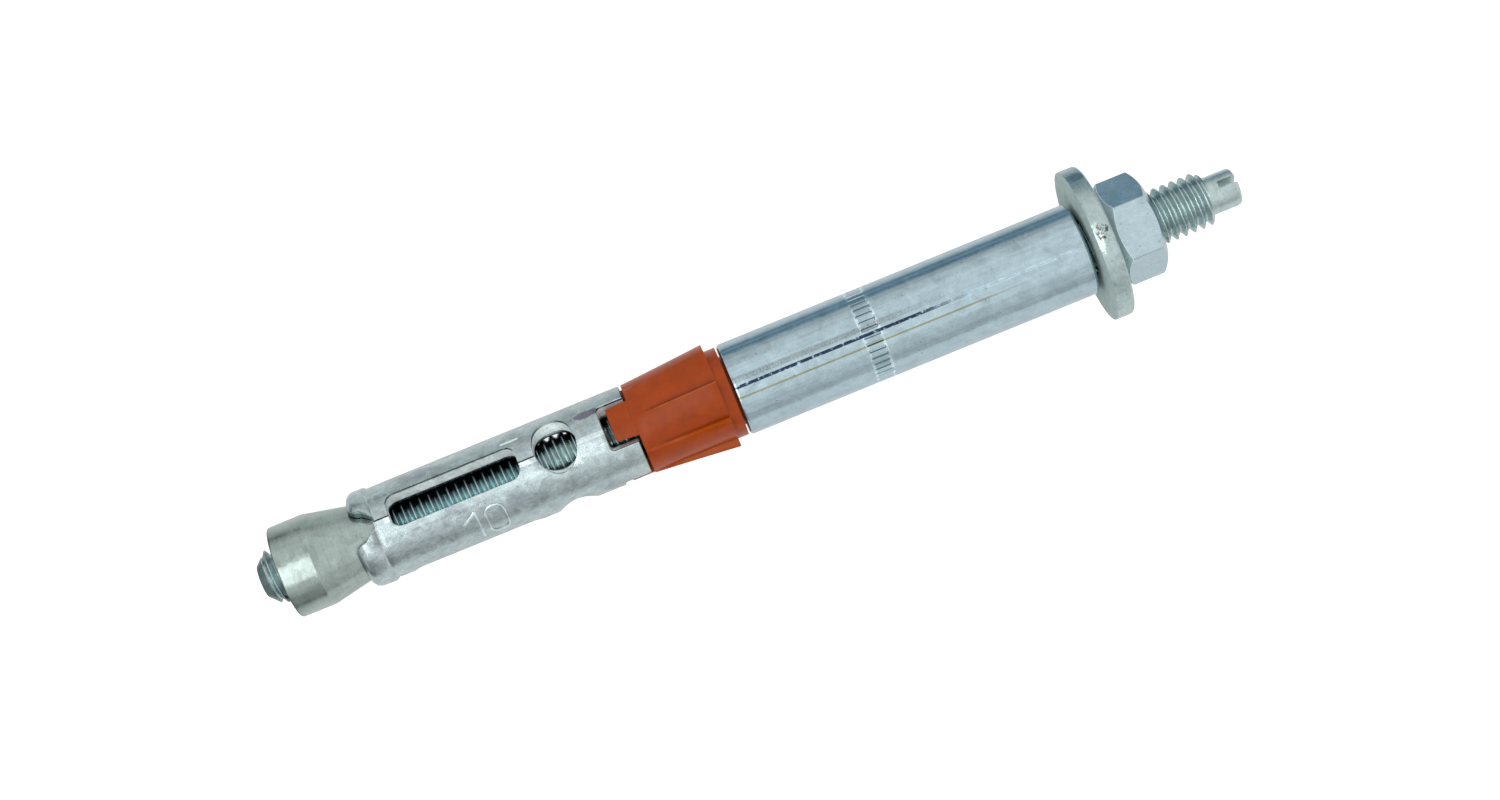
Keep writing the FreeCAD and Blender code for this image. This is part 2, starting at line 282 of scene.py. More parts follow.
class StageSettings(bpy.types.PropertyGroup):
    """The camera, the paper and what reflections show beyond it."""
    photo_width: number("Photo width", "Width of the photograph, in pixels", 1500.0)
    scale: number("Scale", "Pixels to a millimetre at the axis", 9.59)
    distance: length("Distance", "From the camera to the axis", 290.0)
    roll: angle("Roll", "How far the anchor rises to the right in the picture", 22.18)
    lean: angle("Lean", "How far the camera leans towards the anchor's buried end", -1.2)
    centre_x: length("Centre along", "Picture centre along the axis", -38.58)
    centre_y: length("Centre across", "Picture centre across the axis", -1.61)
    paper: colour("Paper", "Colour of the floor", "#F2F2F2")
    glow: number("Glow", "Light that the paper adds for the camera, to burn out to white", 0.5)
    glow_near: length("Glow near", "Distance within which the paper adds only that", 400.0)
    glow_far: length("Glow far", "Distance from which it is all white for the camera", 1200.0)
    edge_start: length("Paper end", "Where the lit paper starts to end, on the far side", 12.0)
    edge_end: length("Table start", "Where the dark table behind the paper starts", 24.0)
    table: colour("Table", "Colour of the table behind, which only reflections show", "#8AA1AF")
    table_left: colour("Table left", "Colour of its left end", "#D4DAD8")
    table_end: colour("Table end", "Colour of the table beyond the anchor's buried end", "#767E80")
    table_split: length("Table split", "Where the table turns darker, towards the nut", -8.0)
    table_soft: length("Table soft", "Width in which one colour turns to the next", 8.0)
    left_end: length("Left end", "Where the lit paper ends beyond the anchor's buried end", -52.5)
    fill: number("Fill", "Strength of the even light from all round", 0.2)
    nearest: length("Nearest", "Nearest distance that the camera sees", 10.0)


# The scene keeps each group under its name here, after anchor_.
GROUPS = {
    "layout": LayoutSizes,
    "stud": StudSizes,
    "cone": ConeSizes,
    "sleeve": SleeveSizes,
    "collar": CollarSizes,
    "tube": TubeSizes,
    "washer": WasherSizes,
    "nut": NutSizes,
    "stage": StageSettings,
}


def sizes(context, *groups):
    """The settings of one group, or of several in a list."""
    found = [getattr(context.scene, "anchor_" + group) for group in groups]
    return found if len(groups) > 1 else found[0]


def deselect():
    """Goes to object mode, with nothing selected."""
    if bpy.context.mode != "OBJECT":
        bpy.ops.object.mode_set(mode="OBJECT")
    bpy.ops.object.select_all(action="DESELECT")


def pick(obj):
    """Makes obj the active object and the only one selected."""
    deselect()
    obj.select_set(True)
    bpy.context.view_layer.objects.active = obj


def edit(obj, kind="VERT", action="DESELECT"):
    """Opens one object in edit mode, with nothing or all of it selected."""
    pick(obj)
    bpy.ops.object.mode_set(mode="EDIT")
    bpy.ops.mesh.select_mode(type=kind)
    bpy.ops.mesh.select_all(action=action)


def select_where(obj, kind, test):
    """Selects the edges or faces of obj for which test(points) holds, in edit mode."""
    edit(obj, kind)
    bpy.ops.object.mode_set(mode="OBJECT")
    places = [v.co for v in obj.data.vertices]
    for item in obj.data.edges if kind == "EDGE" else obj.data.polygons:
        item.select = bool(test([places[i] for i in item.vertices]))
    bpy.ops.object.mode_set(mode="EDIT")


def done():
    """Closes edit mode and gives back the object."""
    bpy.ops.object.mode_set(mode="OBJECT")
    return bpy.context.view_layer.objects.active


def faced_out():
    """Turns all faces of the mesh in edit mode outwards, and closes edit mode."""
    bpy.ops.mesh.select_all(action="SELECT")
    bpy.ops.mesh.normals_make_consistent(inside=False)
    return done()


def settled():
    """Moves the selected object's place, turn and scale into its mesh."""
    bpy.ops.object.transform_apply(location=True, rotation=True, scale=True)


def modified(obj, kind, **settings):
    """Adds a modifier with its settings and applies it."""
    pick(obj)
    modifier = obj.modifiers.new(kind.title(), kind)
    for name, value in settings.items():
        setattr(modifier, name, value)
    bpy.ops.object.modifier_apply(modifier=modifier.name)


def combined(obj, cutter, operation="DIFFERENCE"):
    """Cuts obj with cutter, or crosses or joins them. The cutter is then gone."""
    modified(obj, "BOOLEAN", operation=operation, object=cutter, solver="EXACT")
    bpy.data.objects.remove(cutter)


def cleaned(obj):
    """Merges doubled points and turns all faces outwards."""
    edit(obj, action="SELECT")
    bpy.ops.mesh.remove_doubles(threshold=TINY)
    return faced_out()


def named(name):
    """Names the object that was just added."""
    obj = bpy.context.view_layer.objects.active
    obj.name = name
    return obj


def chain(name, points):
    """A chain of edges through (x, radius) points, drawn upwards from the axis."""
    deselect()
    bpy.ops.mesh.primitive_plane_add(size=MM)
    obj = named(name)
    edit(obj, action="SELECT")
    bpy.ops.mesh.merge(type="CENTER")
    bpy.ops.transform.translate(value=(points[0][0], 0, points[0][1]))
    for (x0, r0), (x1, r1) in zip(points, points[1:]):
        bpy.ops.mesh.extrude_region_move(TRANSFORM_OT_translate={"value": (x1 - x0, 0, r1 - r0)})
    return done()


def turned(name, points, steps=128):
    """A solid turned about the axis from a closed chain of points, or from one that starts and
    ends on the axis."""
    on_axis = points[0][1] == 0
    obj = chain(name, points if on_axis else points + points[:1])
    edit(obj, action="SELECT")
    bpy.ops.mesh.spin(steps=steps, angle=2 * math.pi, center=(0, 0, 0), axis=(1, 0, 0))
    done()
    return cleaned(obj)


def rounded(x, radius, size, way, steps=5):
    """Points of a quarter-round edge of a turned outline, in order along +X. way is 1 where the
    piece ends towards +X and -1 where it ends towards -X."""
    points = []
    for i in range(steps + 1):
        a = math.pi / 2 * i / steps
        if way < 0:
            a = math.pi / 2 - a
        points.append((x - way * size * (1 - math.sin(a)), radius - size * (1 - math.cos(a))))
    return points


def block(name, low, high):
    """A box between two corners."""
    deselect()
    middle = (Vector(low) + Vector(high)) / 2
    bpy.ops.mesh.primitive_cube_add(size=1, location=middle)
    bpy.ops.transform.resize(value=Vector(high) - Vector(low), center_override=middle)
    settled()
    return named(name)


def laid_down(obj, body, node, smooth=35.0):
    """Puts a finished piece where the frame has its node, shades it and hangs it on its body.
    Edges that are bent by more than smooth degrees stay sharp."""
    pick(obj)
    obj.matrix_world = REST @ obj.matrix_world
    settled()
    bpy.ops.object.shade_smooth_by_angle(angle=math.radians(smooth), keep_sharp_edges=False)
    modified(obj, "WEIGHTED_NORMAL", keep_sharp=True)
    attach(obj, body)
    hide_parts(node)


def threaded_rod(name, start, end, crest, root, stud):
    """A rod with a right-hand thread, cut off square at both ends."""
    pitch = stud.pitch
    first = (math.floor((start - stud.phase) / pitch) - SPARE_TURNS) * pitch + stud.phase
    flank = (pitch - stud.crest_flat - stud.root_flat) / 2
    edge = stud.crest_flat / 2
    soft = THREAD_ROUNDING * (crest - root)
    obj = chain(name, [
        (first, crest),
        (first + edge, crest - soft / 2),
        (first + edge + flank, root + soft),
        (first + edge + flank + stud.root_flat / 2, root),
        (first + edge + flank + stud.root_flat, root + soft),
        (first + pitch - edge, crest - soft / 2),
        (first + pitch, crest),
    ])
    turns = math.ceil((end - first) / pitch) + SPARE_TURNS
    modified(obj, "SCREW", axis="X", angle=2 * math.pi, screw_offset=pitch, iterations=turns,
             steps=stud.steps, render_steps=stud.steps, use_merge_vertices=False)
    edit(obj, action="SELECT")
    bpy.ops.mesh.remove_doubles(threshold=TINY)
    for place, way in ((start, -1), (end, 1)):
        bpy.ops.mesh.select_all(action="SELECT")
        bpy.ops.mesh.bisect(plane_co=(place, 0, 0), plane_no=(way, 0, 0), use_fill=True,
                            clear_outer=True, threshold=TINY)
    return faced_out()


class ANCHOR_OT_threaded_stud(bpy.types.Operator):
    """Builds the threaded stud with its chamfered tail, plain tip and screwdriver slot"""
    bl_idname = "anchor.threaded_stud"
    bl_label = "Threaded stud"

    def execute(self, context):
        at, stud = sizes(context, "layout", "stud")
        # The blank gives the rod its ends. Between them it stands clear of the thread's crests.
        spare = 0.1 * MM
        clear = stud.crest_radius + spare
        blank = turned("stud_blank", [
            (at.stud_tail, 0),
            (at.stud_tail, stud.crest_radius - stud.tail_chamfer),
            (at.stud_tail + stud.tail_chamfer + spare, clear),
            (at.thread_end - stud.run_out - spare, clear),
            (at.thread_end, stud.crest_radius - stud.run_out),
            (at.thread_end, stud.tip_radius),
            *rounded(at.stud_tip, stud.tip_radius, stud.tip_chamfer, way=1, steps=3),
            (at.stud_tip, 0),
        ], steps=64)
        reach = stud.crest_radius + BEYOND
        slot = block("slot", (at.stud_tip - stud.slot_depth, -stud.slot_width / 2, -reach),
                     (at.stud_tip + BEYOND, stud.slot_width / 2, reach))
        pick(slot)
        slot.matrix_world = Matrix.Rotation(stud.slot_turn, 4, "X")
        settled()
        combined(blank, slot)
        rod = threaded_rod("threaded_stud_finished", at.stud_tail - BEYOND, at.stud_tip + BEYOND,
                           stud.crest_radius, stud.root_radius, stud)
        combined(rod, blank, "INTERSECT")
        laid_down(cleaned(rod), "bolt", "threaded_stud", smooth=25.0)
        return {"FINISHED"}


class ANCHOR_OT_cone(bpy.types.Operator):
    """Builds the conical nut at the buried end"""
    bl_idname = "anchor.cone"
    bl_label = "Cone"

    def execute(self, context):
        at, cone, stud = sizes(context, "layout", "cone", "stud")
        bore = stud.crest_radius + cone.thread_gap
        thin_end = cone.radius - (at.cone_front - at.cone_shoulder) * math.tan(cone.taper)
        obj = turned("cone_finished", [
            (at.cone_back, bore),
            *rounded(at.cone_back, cone.radius, cone.edge, way=-1),
            (at.cone_shoulder - cone.shoulder_round, cone.radius),
            (at.cone_shoulder + cone.shoulder_round, cone.radius - cone.shoulder_drop),
            (at.cone_front, thin_end),
            (at.cone_front, bore),
        ])
        laid_down(obj, "bolt", "cone")
        return {"FINISHED"}


def sleeve_profile(at, sleeve, cone, x):
    """Inner and outer radius of the rolled sleeve at x."""
    taper = math.tan(cone.taper)
    tip_bore = cone.radius - (at.sleeve_tip - at.cone_shoulder) * taper + sleeve.cone_gap
    inner = max(sleeve.bore_radius, tip_bore - (x - at.sleeve_tip) * taper)
    from_tip = x - at.sleeve_tip
    bead = sleeve.radius + sleeve.bead_height
    crease = sleeve.radius - sleeve.crease_depth
    fall = sleeve.bead_round / 2
    if from_tip < sleeve.bead_round:
        reach = max(0.0, min(1.0, 1 - from_tip / sleeve.bead_round))
        outer = bead - sleeve.bead_round * (1 - math.sqrt(1 - reach * reach))
    elif from_tip < sleeve.bead_length - fall:
        outer = bead
    elif from_tip < sleeve.bead_length:
        share = (from_tip - sleeve.bead_length + fall) / fall
        outer = bead + (crease - bead) * share * share
    elif from_tip < sleeve.bead_length + sleeve.crease_width:
        share = (from_tip - sleeve.bead_length) / sleeve.crease_width
        outer = crease + (sleeve.radius - crease) * math.sin(share * math.pi / 2)
    else:
        outer = sleeve.radius
    return inner, outer


def flat_plate(name, corners, low, high):
    """A plate over a flat outline of (x, y) points, from low to high."""
    deselect()
    bpy.ops.mesh.primitive_circle_add(vertices=len(corners), fill_type="NGON", radius=MM)
    obj = named(name)
    for vertex, (x, y) in zip(obj.data.vertices, corners):
        vertex.co = (x, y, low)
    edit(obj, action="SELECT")
    bpy.ops.mesh.extrude_region_move(TRANSFORM_OT_translate={"value": (0, 0, high - low)})
    return faced_out()


def box_outline(x0, x1, y, width, corner):
    """Corners of a rectangle along x, centred on y, with rounded corners."""
    half = width / 2
    middles = ((x1 - corner, y + half - corner), (x0 + corner, y + half - corner),
               (x0 + corner, y - half + corner), (x1 - corner, y - half + corner))
    corners = []
    for quarter, (cx, cy) in enumerate(middles):
        for i in range(CORNER_STEPS + 1):
            a = math.radians(90 * quarter + 90 * i / CORNER_STEPS)
            corners.append((cx + corner * math.cos(a), cy + corner * math.sin(a)))
    return corners


def oval_outline(x, y, along, across, steps=48):
    """Points of an oval about (x, y), of a length along x and a width across it."""
    turns = [2 * math.pi * i / steps for i in range(steps)]
    return [(x + along / 2 * math.cos(a), y + across / 2 * math.sin(a)) for a in turns]


def gap_outline(at, sleeve, y):
    """Corners of the opening between two fingers' tips: a narrow root and rounded corners."""
    corner = sleeve.gap_corner
    flank_end = at.sleeve_tip + corner
    mouth = sleeve.gap_mouth_width / 2
    upper = [(at.sleeve_tip + sleeve.gap_depth, sleeve.gap_root_width / 2)]
    for i in range(CORNER_STEPS + 1):
        a = math.pi / 2 * i / CORNER_STEPS
        upper.append((flank_end - corner * math.sin(a), mouth + corner * (1 - math.cos(a))))
    upper.append((at.sleeve_tip - corner, mouth + corner))
    lower = [(px, -py) for px, py in reversed(upper)]
    return [(px, y + py) for px, py in upper + lower]


class ANCHOR_OT_expansion_sleeve(bpy.types.Operator):
    """Builds the expansion sleeve as it is made: a strip, punched, its edges rounded, rolled up"""
    bl_idname = "anchor.expansion_sleeve"
    bl_label = "Expansion sleeve"

    def execute(self, context):
        at, sleeve, cone = sizes(context, "layout", "sleeve", "cone")
        thick = sleeve.radius - sleeve.bore_radius
        around = 2 * math.pi * sleeve.radius
        low, high = -thick / 2, 1.5 * thick
        hole_end = at.sleeve_front - sleeve.hole_from_front
        hole_middle = hole_end - sleeve.hole_length / 2
        window = (at.sleeve_tip + sleeve.window_from_tip,
                  hole_end - sleeve.hole_length - sleeve.window_to_hole)
        keyway = (at.sleeve_front - sleeve.keyway_depth, at.sleeve_front + BEYOND)
        strip = block("expansion_sleeve_finished", (at.sleeve_tip, -around / 2, 0),
                      (at.sleeve_front, around / 2, thick))
        # slits at equal steps round the strip, whose ends meet in the middle of a finger
        slits = [around * i / sleeve.fingers for i in range(sleeve.fingers)]
        slits = [y - around if y > around / 2 else y for y in slits]
        shift = -sleeve.punch_turn * sleeve.radius

        def punch(outline):
            combined(strip, flat_plate("punch", outline, low, high))

        def off_the_seam(p):
            return abs(p.y) < around / 2 - TINY

        for y in slits:
            punch(box_outline(*window, y + shift, sleeve.window_width, sleeve.window_corner))
            punch(oval_outline(hole_middle, y + shift, sleeve.hole_length, sleeve.hole_width))
        margin = 0.5 * MM
        reach = max(sleeve.hole_width, sleeve.window_width) / 2 + margin
        self.round_edges(strip, thick, sleeve.punch_round, lambda p: (
            window[0] - margin < p.x < hole_end + margin
            and min(abs(p.y - y - shift) for y in slits) < reach))
        for y in slits:
            punch(gap_outline(at, sleeve, y))
            punch(box_outline(*keyway, y, sleeve.keyway_width, sleeve.keyway_corner))
        gap_root = at.sleeve_tip + sleeve.gap_depth
        self.round_edges(strip, thick, sleeve.gap_round, lambda p: (
            p.x < gap_root + margin and off_the_seam(p)))
        self.round_edges(strip, thick, sleeve.small_edge, lambda p: (
            p.x > hole_end + margin and off_the_seam(p)))
        half = sleeve.slit_width / 2
        for y in slits:
            combined(strip, block("slit", (at.sleeve_tip - BEYOND, y - half, low),
                                  (hole_middle, y + half, high)))
        self.emboss(strip, sleeve, thick)
        self.roll(strip, at, sleeve, cone, thick, around, slits, hole_middle)
        laid_down(strip, "sleeve_stack", "expansion_sleeve", smooth=38.0)
        return {"FINISHED"}

    def round_edges(self, strip, thick, size, inside):
        """Rounds the strip's upper edges whose both ends lie where inside() says, but not those of
        its end at the tips."""
        tip = min(v.co.x for v in strip.data.vertices)
        select_where(strip, "EDGE", lambda ends: any(p.x > tip + TINY for p in ends) and all(
            abs(p.z - thick) < TINY and inside(p) for p in ends))
        done()
        # edges inside the flat upper face, which have no wall under them, stay as they are
        mesh = strip.data
        wall_edges = set()
        for polygon in mesh.polygons:
            if abs(polygon.normal.z) < UPRIGHT:
                wall_edges.update(polygon.edge_keys)
        for edge in mesh.edges:
            if edge.select and tuple(sorted(edge.vertices)) not in wall_edges:
                edge.select = False
        bpy.ops.object.mode_set(mode="EDIT")
        bpy.ops.mesh.bevel(offset=size, segments=4, profile=0.5, affect="EDGES",
                           clamp_overlap=True)
        done()

    def emboss(self, strip, sleeve, thick):
        """Raises the plain figures 10, the size of the hole, as single rounded lines."""
        half, stroke, width = sleeve.figure_height / 2, sleeve.figure_stroke, sleeve.figure_width
        middle = (sleeve.finger_turn - sleeve.figure_turn) * sleeve.radius
        low, high = thick - sleeve.figure_sink, thick + sleeve.figure_relief
        flag = sleeve.figure_start
        stem = flag + ONE_STEM * width
        left, right = stem - stroke / 2, stem + stroke / 2
        flag_end = middle + ONE_FLAG * half
        # up the stem, down the upper side of the flag, across its end and back along its lower side
        one = [(left, middle - half), (right, middle - half), (right, middle + half),
               (left, middle + half), (flag, flag_end), (flag + 0.7 * stroke, flag_end - stroke),
               (left, middle + half - 1.7 * stroke)]
        start = flag + sleeve.figure_step
        end, corner = start + width, NOUGHT_CORNER * width
        nought = flat_plate("nought", box_outline(start, end, middle, 2 * half, corner), low, high)
        inside = box_outline(start + stroke, end - stroke, middle, 2 * (half - stroke),
                             corner - stroke)
        combined(nought, flat_plate("inside", inside, low - BEYOND, high + BEYOND))
        for figure in (flat_plate("one", one, low, high), nought):
            select_where(figure, "EDGE", lambda ends: all(p.z > high - TINY for p in ends))
            bpy.ops.mesh.bevel(offset=0.5 * sleeve.figure_relief, segments=2, affect="EDGES")
            done()
            combined(strip, figure, "UNION")

    def bends(self, at, sleeve):
        """Places where the strip is cut across, so that it can take its bead and its crease and,
        row by row behind them, the flare inside and the flats beside the slits."""
        tip, curve = at.sleeve_tip, sleeve.bead_round
        # six cuts over the bead's rounding, five over its fall and three over the crease
        places = [tip + curve * (1 - math.cos(math.pi / 2 * i / 6)) for i in range(1, 7)]
        fall = sleeve.bead_length - curve / 2
        places += [tip + fall + i * curve / 8 for i in range(5)]
        places += [tip + sleeve.bead_length + sleeve.crease_width * i / 3 for i in range(1, 4)]
        place = places[-1] + MM
        while place < at.sleeve_front:
            places.append(place)
            place += sleeve.row
        return places

    def roll(self, strip, at, sleeve, cone, thick, around, slits, slit_end):
        """Slices the strip finely and rolls it up, with the beaded tips and the flared bore.
        Beside the slits it stays flat."""
        slices = sleeve.slices
        cuts = [((0, around * (i / slices - 0.5), 0), (0, 1, 0)) for i in range(1, slices)]
        cuts += [((x, 0, 0), (1, 0, 0)) for x in self.bends(at, sleeve)]
        edit(strip)
        for place, way in cuts:
            bpy.ops.mesh.select_all(action="SELECT")
            bpy.ops.mesh.bisect(plane_co=place, plane_no=way, threshold=TINY)
        done()
        for vertex in strip.data.vertices:
            x, y, z = vertex.co
            inner, outer = sleeve_profile(at, sleeve, cone, x)
            radius = inner + (outer - inner) * z / thick
            if 0 < y < around / sleeve.fingers:
                x += sleeve.set_back * max(0.0, 1 - (x - at.sleeve_tip) / sleeve.window_from_tip)
            slit = min(slits, key=lambda s: abs(y - s))
            flat = 0.0
            if x < slit_end and abs(y - slit) < sleeve.slit_flat:
                flat = y - slit - math.copysign(sleeve.slit_flat, y - slit)
            a = (y - flat) / sleeve.radius - sleeve.finger_turn
            vertex.co = (x, radius * math.sin(a) + flat * math.cos(a),
                         radius * math.cos(a) - flat * math.sin(a))
        edit(strip, action="SELECT")
        bpy.ops.mesh.remove_doubles(threshold=SEAM_GAP)
        bpy.ops.mesh.select_all(action="DESELECT")
        bpy.ops.mesh.select_interior_faces()
        bpy.ops.mesh.delete(type="FACE")
        done()


class ANCHOR_OT_collar(bpy.types.Operator):
    """Builds the moulded collar with its saw-tooth fins, ring, spigot and tabs"""
    bl_idname = "anchor.collar"
    bl_label = "Collar"

    def execute(self, context):
        at, collar, sleeve = sizes(context, "layout", "collar", "sleeve")
        run, rows = at.ring_back - at.fins_back, collar.fin_rows
        spigot_end = at.tube_back + collar.spigot_length
        obj = turned("collar_finished", [
            (at.fins_back, collar.bore_radius),
            (at.fins_back, collar.tab_radius),
            *((at.fins_back + run * i / rows, collar.body_radius) for i in range(rows + 1)),
            (at.ring_back, collar.ring_radius),
            (at.ring_front, collar.ring_radius),
            (at.ring_front, collar.spigot_radius),
            (spigot_end, collar.spigot_radius),
            (spigot_end, collar.bore_radius),
        ], steps=collar.fins * collar.fin_steps)
        self.shape_fins(obj, at, collar)
        self.pull_tabs(obj, at, collar, sleeve)
        modified(obj, "BEVEL", width=collar.edge, segments=2, limit_method="ANGLE",
                 angle_limit=collar.edge_angle, use_clamp_overlap=True)
        laid_down(obj, "sleeve_stack", "collar", smooth=26.0)
        return {"FINISHED"}

    def shape_fins(self, obj, at, collar):
        """Lifts each ridge and lets the surface fall away to the next one."""
        step = 2 * math.pi / collar.fins
        run = at.ring_back - at.fins_back
        for vertex in obj.data.vertices:
            x, y, z = vertex.co
            radius = math.hypot(y, z)
            on_fins = at.fins_back - TINY < x < at.ring_back + TINY
            if not on_fins or radius < collar.body_radius - TINY:
                continue
            a = math.atan2(-y, z)
            share = ((a - collar.fin_turn + TINY) % step) / step
            along = (x - at.fins_back) / run
            low = collar.body_radius + (0.5 - share) * collar.start_step
            high = collar.ridge_radius + (collar.valley_radius - collar.ridge_radius) * share
            scale = (low + (high - low) * along) / radius
            vertex.co = (x, y * scale, z * scale)

    def pull_tabs(self, obj, at, collar, sleeve):
        """Pulls the tabs, one for each keyway, out of the collar's low end."""
        half = (sleeve.keyway_width / 2 - collar.tab_side_gap) / sleeve.radius
        out = at.sleeve_front - sleeve.keyway_depth + collar.tab_end_gap - at.fins_back
        for i in range(sleeve.fingers):
            turn = sleeve.finger_turn + 2 * math.pi * i / sleeve.fingers

            def in_tab(points):
                if any(abs(p.x - at.fins_back) > TINY for p in points):
                    return False
                middle = sum(points, Vector()) / len(points)
                off = (math.atan2(-middle.y, middle.z) - turn + math.pi) % (2 * math.pi) - math.pi
                radius = math.hypot(middle.y, middle.z)
                return abs(off) < half and radius < collar.tab_radius

            select_where(obj, "FACE", in_tab)
            bpy.ops.mesh.extrude_region_move(TRANSFORM_OT_translate={"value": (out, 0, 0)})
            done()
        for vertex in obj.data.vertices:
            if vertex.co.x < at.sleeve_front - TINY:
                self.narrow(vertex, collar, sleeve)

    def narrow(self, vertex, collar, sleeve):
        """Moves a vertex at a tab's end towards the middle of its tab."""
        x, y, z = vertex.co
        third = 2 * math.pi / sleeve.fingers
        a = math.atan2(-y, z)
        turn = sleeve.finger_turn + round((a - sleeve.finger_turn) / third) * third
        a = turn + (a - turn) * collar.tab_taper
        radius = math.hypot(y, z)
        vertex.co = (x, -radius * math.sin(a), radius * math.cos(a))


class ANCHOR_OT_distance_tube(bpy.types.Operator):
    """Builds the distance tube with its ring of short pressed marks"""
    bl_idname = "anchor.distance_tube"
    bl_label = "Distance tube"

    def execute(self, context):
        at, tube = sizes(context, "layout", "tube")
        knurl_end = tube.knurl_start + tube.knurl_length
        edge = [(along * tube.edge, tube.radius - inward * tube.edge)
                for along, inward in TUBE_EDGE]
        steps = tube.knurl_count * KNURL_STEPS
        obj = turned("distance_tube_finished", [
            (at.tube_back, tube.bore_radius),
            *((at.tube_back + along, radius) for along, radius in edge),
            (tube.knurl_start, tube.radius),
            (knurl_end, tube.radius),
            *((at.tube_front - along, radius) for along, radius in reversed(edge)),
            (at.tube_front, tube.bore_radius),
        ], steps)
        step = 2 * math.pi / steps

        def in_mark(points):
            if any(not tube.knurl_start - TINY < p.x < knurl_end + TINY for p in points):
                return False
            middle = sum(points, Vector()) / len(points)
            place = round((math.atan2(-middle.y, middle.z) % (2 * math.pi)) / step - 0.5)
            outside = math.hypot(middle.y, middle.z) > tube.bore_radius + TINY
            return outside and place % KNURL_STEPS < KNURL_STEPS / 2

        select_where(obj, "FACE", in_mark)
        bpy.ops.mesh.inset(thickness=tube.knurl_rim, depth=0)
        bpy.ops.mesh.inset(thickness=tube.knurl_slope, depth=-tube.knurl_depth)
        done()
        laid_down(obj, "sleeve_stack", "distance_tube", smooth=30.0)
        return {"FINISHED"}


class ANCHOR_OT_washer(bpy.types.Operator):
    """Builds the thick washer"""
    bl_idname = "anchor.washer"
    bl_label = "Washer"

    def execute(self, context):
        at, washer = sizes(context, "layout", "washer")
        obj = turned("washer_finished", [
            (0, washer.hole_radius),
            *rounded(0, washer.radius, washer.back_round, way=-1, steps=2),
            *rounded(at.washer_front, washer.radius, washer.front_round, way=1),
            (at.washer_front, washer.hole_radius),
        ], steps=160)
        laid_down(obj, "washer", "washer")
        return {"FINISHED"}


class ANCHOR_OT_hex_nut(bpy.types.Operator):
    """Builds the hexagon nut with crowned ends and a threaded bore"""
    bl_idname = "anchor.hex_nut"
    bl_label = "Hexagon nut"

    def execute(self, context):
        at, nut, stud = sizes(context, "layout", "nut", "stud")
        deselect()
        bpy.ops.mesh.primitive_cylinder_add(
            vertices=6, radius=nut.across_flats / math.sqrt(3), depth=at.nut_front - at.nut_back,
            location=((at.nut_back + at.nut_front) / 2, 0, 0), rotation=(0, math.pi / 2, 0))
        settled()
        obj = named("hex_nut_finished")
        select_where(obj, "EDGE", lambda ends: abs(ends[0].x - ends[1].x) > MM)
        bpy.ops.mesh.bevel(offset=nut.corner_round, segments=4, affect="EDGES")
        done()
        flat = next(p.normal for p in obj.data.polygons
                    if abs(p.normal.x) < UPRIGHT and p.area > LEAST_FLAT)
        turn = nut.turn - math.atan2(-flat.y, flat.z)
        obj.data.transform(Matrix.Rotation(turn, 4, "X"))
        combined(obj, self.crown(at, nut), "INTERSECT")
        self.tap(obj, at, nut, stud)
        laid_down(cleaned(obj), "nut", "hex_nut", smooth=25.0)
        return {"FINISHED"}

    def crown(self, at, nut):
        """A drum with domed ends, which the nut's ends are cut to."""
        reach = math.sqrt(nut.crown ** 2 - nut.face_radius ** 2)
        slopes = [(r, math.sqrt(nut.crown ** 2 - r ** 2) - reach)
                  for r in (nut.face_radius, *CROWN_RINGS)]
        return turned("crown", [
            (at.nut_back, 0),
            *((at.nut_back - drop, radius) for radius, drop in slopes),
            *((at.nut_front + drop, radius) for radius, drop in reversed(slopes)),
            (at.nut_front, 0),
        ])

    def tap(self, obj, at, nut, stud):
        """Cuts the bore, its countersunk mouths and its thread."""
        mouth, root = nut.mouth_radius, stud.root_radius
        combined(obj, turned("sink", [
            (at.nut_back - BEYOND, 0),
            (at.nut_back - BEYOND, mouth + BEYOND),
            (at.nut_back + mouth - root, root),
            (at.nut_front - mouth + root, root),
            (at.nut_front + BEYOND, mouth + BEYOND),
            (at.nut_front + BEYOND, 0),
        ], steps=64))
        crest = stud.crest_radius
        combined(obj, threaded_rod("tap", at.nut_back - BEYOND, at.nut_front + BEYOND,
                                   crest + nut.thread_gap, root + nut.thread_gap, stud))


def add(material, kind, links=(), **settings):
    """Adds a node, sets its properties and its inputs (an input's name in words joined by _, or
    input_ and its place), and links other nodes' outputs to its inputs. A link is (input, node,
    output)."""
    node = material.node_tree.nodes.new(kind)
    for name, value in settings.items():
        if hasattr(node, name):
            setattr(node, name, value)
        elif name.startswith("input_"):
            node.inputs[int(name.removeprefix("input_"))].default_value = value
        else:
            node.inputs[name.replace("_", " ")].default_value = value
    for socket, source, output in links:
        material.node_tree.links.new(source.outputs[output], node.inputs[socket])
    return node


def new_material(name):
    """A material with no nodes yet."""
    material = bpy.data.materials.new(name)
    material.use_nodes = True
    material.node_tree.nodes.clear()
    return material


def anchor_coordinates(material):
    """Coordinates in the anchor's own frame, in metres, with X along its axis."""
    place = add(material, "ShaderNodeTexCoord")
    return add(material, "ShaderNodeMapping", [("Vector", place, "Object")], vector_type="TEXTURE",
               Location=SEAT, Rotation=(0, -TILT, 0))


